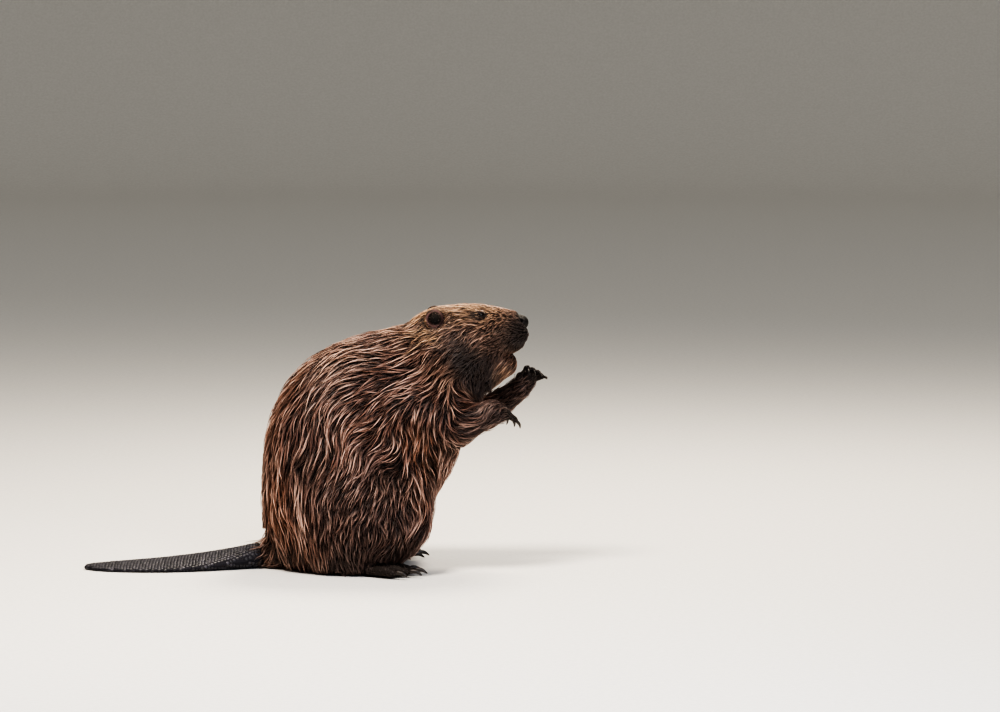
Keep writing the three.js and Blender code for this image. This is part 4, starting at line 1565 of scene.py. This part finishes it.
class BEAVER_OT_tail(bpy.types.Operator):
    """Lay the overlapping scales of the tail"""

    bl_idname = "beaver.tail"
    bl_label = "Tail scales"

    def execute(self, context):
        # Horny scale: slate-black keratin, wet, each plate a little different.
        made, tree, shader = new_material("Tail scale", Roughness=0.4, IOR=1.5)
        each = add(tree, "ShaderNodeAttribute", attribute_name="plate").outputs["Fac"]
        place = add(tree, "ShaderNodeTexCoord").outputs["Object"]
        mud = add(tree, "ShaderNodeTexNoise", {"Vector": place, "Scale": 1 / 0.02, "Detail": 4.0})
        tone = add(tree, "ShaderNodeMath", {0: each, 1: mud.outputs["Fac"]}, operation="MULTIPLY_ADD")
        tone.inputs[2].default_value = 0.1
        shade = add(
            tree,
            "ShaderNodeValToRGB",
            {"Fac": tone.outputs[0]},
            stops=[(0.1, linear("1E1D20")), (0.75, linear("45424A"))],
        )
        tree.links.new(shade.outputs["Color"], shader.inputs["Base Color"])
        long = context.scene.beaver_parts.scale
        wide = long * 0.8
        low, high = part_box("tail_blade")
        skin_tree = BVHTree.FromPolygons(*mesh_part(store["skin"].data))
        rng = np.random.default_rng(8)
        parts, tones = [], []
        rows = int((high.x - low.x) / (long * SCALE_STEP))
        for row in range(rows):
            x = low.x + (row + 0.5) * long * SCALE_STEP
            for column in SCALE_COLUMNS:
                y = (low.y + high.y) / 2 + (column + 0.5 * (row % 2)) * wide
                for start, way in ((0.2, -1), (-0.2, 1)):
                    at = Vector((x + rng.normal(0, 0.3) * MM, y + rng.normal(0, 0.3) * MM, start))
                    hit = skin_tree.ray_cast(at, Vector((0, 0, way)))
                    if hit[0] is None or hit[1].z * way > -0.25 or hit[0].z > high.z:
                        continue
                    if x > high.x - 8 * MM:
                        continue
                    parts.append(scale_plate(hit[0], hit[1], long, wide))
                    tones.append(rng.random())
        piece = joined("tail_scales", parts)
        piece.data.materials.append(made)
        set_values(piece.data, "plate", np.repeat(tones, len(parts[0][0])))
        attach(piece, BODY)
        return {"FINISHED"}


def scale_plate(at, normal, long, wide):
    """A six-sided domed plate, its rear edge lifted over the next."""
    back = (Vector((-1, 0, 0)) + normal * normal.x).normalized()
    across = normal.cross(back)
    co, faces = [], []
    for share, rise in ((1.0, -0.35), (0.72, 0.45)):
        for n in range(6):
            t = math.pi * n / 3
            along = math.cos(t) * long * 0.53 * share
            lift = rise + 0.35 * math.cos(t)
            co.append(at + back * along + across * (math.sin(t) * wide * 0.6 * share) + normal * (lift * MM))
    for n in range(6):
        faces.append((n, (n + 1) % 6, 6 + (n + 1) % 6, 6 + n))
    faces.append(tuple(range(6, 12)))
    faces.append(tuple(range(5, -1, -1)))
    return [p if p.z > LOWEST_SCALE else Vector((p.x, p.y, LOWEST_SCALE)) for p in co], faces


# ---- stage -----------------------------------------------------------------------------------------
# Soft round lamps: where each stands, its size in metres, its watts and its tint.
LAMPS = {
    "key": ((-0.6, -1.2, 2.6), 0.9, 88, "FFF4E6"),
    "rim": ((0.7, 1.4, 2.3), 1.0, 56, "FFF1DE"),
    "fill": ((1.0, -2.5, 1.45), 1.6, 42, "E6EEFF"),
}
LIT = Vector((0.05, 0, 0.2))  # what the lamps point at
LOOKED_AT = Vector((0.276, 0.0, 0.318))  # what the camera points at
FLOOR_CURVE = 1.3  # radius of the sweep from the floor up to the wall
WALL_TOP = 4.5
FLOOR_SPINS = 64  # points round the floor


class BEAVER_OT_stage(bpy.types.Operator):
    """Put the floor, soft lights and the camera round the animal"""

    bl_idname = "beaver.stage"
    bl_label = "Stage"

    def execute(self, context):
        settings = context.scene.beaver_stage
        scene = context.scene
        # Matt painted board, with a roller's stipple 8 mm across: a round floor swept up all round.
        tones = [(0.3, tuple(settings.floor)), (0.8, linear("E0DED9"))]
        made = mottled("Matt pale board", 1 / 0.008, 1.0, tones, Roughness=0.85)
        reach = settings.reach
        sweep = [(0.0, 0.0), (reach * 0.3, 0.0), (reach, 0.0)]
        for a in np.linspace(0.15, math.pi / 2, 10):
            sweep.append((reach + FLOOR_CURVE * math.sin(a), FLOOR_CURVE - FLOOR_CURVE * math.cos(a)))
        sweep.append((reach + FLOOR_CURVE, WALL_TOP))
        turns = np.linspace(0, 2 * math.pi, FLOOR_SPINS, endpoint=False)
        co = [(r * math.cos(a), r * math.sin(a), z) for r, z in sweep for a in turns]
        board = new_object("floor", co, ring_faces(len(sweep), FLOOR_SPINS), made)

        world = bpy.data.worlds.new("Studio")
        scene.world = world
        world.use_nodes = True
        sky = world.node_tree.nodes["Background"].inputs
        sky["Color"].default_value = linear("EEECE8")
        sky["Strength"].default_value = 0.36
        for name, (at, size, power, tint) in LAMPS.items():
            lamp = bpy.data.lights.new(name, "AREA")
            lamp.shape = "DISK"
            lamp.size = size
            lamp.energy = power
            lamp.color = linear(tint)[:3]
            light = bpy.data.objects.new(name, lamp)
            light.location = at
            aim = LIT - Vector(at)
            light.rotation_euler = aim.to_track_quat("-Z", "Y").to_euler()
            scene.collection.objects.link(light)

        camera = bpy.data.objects.new("camera", bpy.data.cameras.new("camera"))
        camera.data.lens = settings.lens
        camera.data.sensor_width = 36.0
        back = Vector((0, -math.cos(settings.elevation), math.sin(settings.elevation)))
        camera.location = LOOKED_AT + back * settings.distance
        camera.rotation_euler = (-back).to_track_quat("-Z", "Y").to_euler()
        camera.data.clip_end = 60
        scene.collection.objects.link(camera)
        scene.camera = camera
        scene.view_settings.view_transform = "AgX"
        scene.view_settings.look = "AgX - Very High Contrast"
        return {"FINISHED"}


class BEAVER_PT_panel(bpy.types.Panel):
    """Sizes, colours and steps of the beaver"""

    bl_label = "Beaver"
    bl_space_type = "VIEW_3D"
    bl_region_type = "UI"
    bl_category = "Beaver"

    def draw(self, context):
        for name, group in GROUPS.items():
            box = self.layout.box()
            for setting in group.__annotations__:
                box.prop(getattr(context.scene, name), setting)
        for operator in OPERATORS:
            self.layout.operator(operator.bl_idname)


GROUPS = {
    "beaver_skin": BeaverSkin,
    "beaver_coat": BeaverCoat,
    "beaver_parts": BeaverParts,
    "beaver_stage": BeaverStage,
}
OPERATORS = (
    BEAVER_OT_stage,
    BEAVER_OT_skin,
    BEAVER_OT_coat,
    BEAVER_OT_claws,
    BEAVER_OT_eyes,
    BEAVER_OT_nose,
    BEAVER_OT_teeth,
    BEAVER_OT_whiskers,
    BEAVER_OT_tail,
)
CLASSES = (*GROUPS.values(), *OPERATORS, BEAVER_PT_panel)


def register():
    for made in CLASSES:
        bpy.utils.register_class(made)
    for name, group in GROUPS.items():
        setattr(bpy.types.Scene, name, bpy.props.PointerProperty(type=group))


def unregister():
    for name in GROUPS:
        delattr(bpy.types.Scene, name)
    for made in reversed(CLASSES):
        bpy.utils.unregister_class(made)


def main():
    register()
    for operator in OPERATORS:
        family, step_name = operator.bl_idname.split(".")
        getattr(getattr(bpy.ops, family), step_name)()


if __name__ == "__main__":
    main()
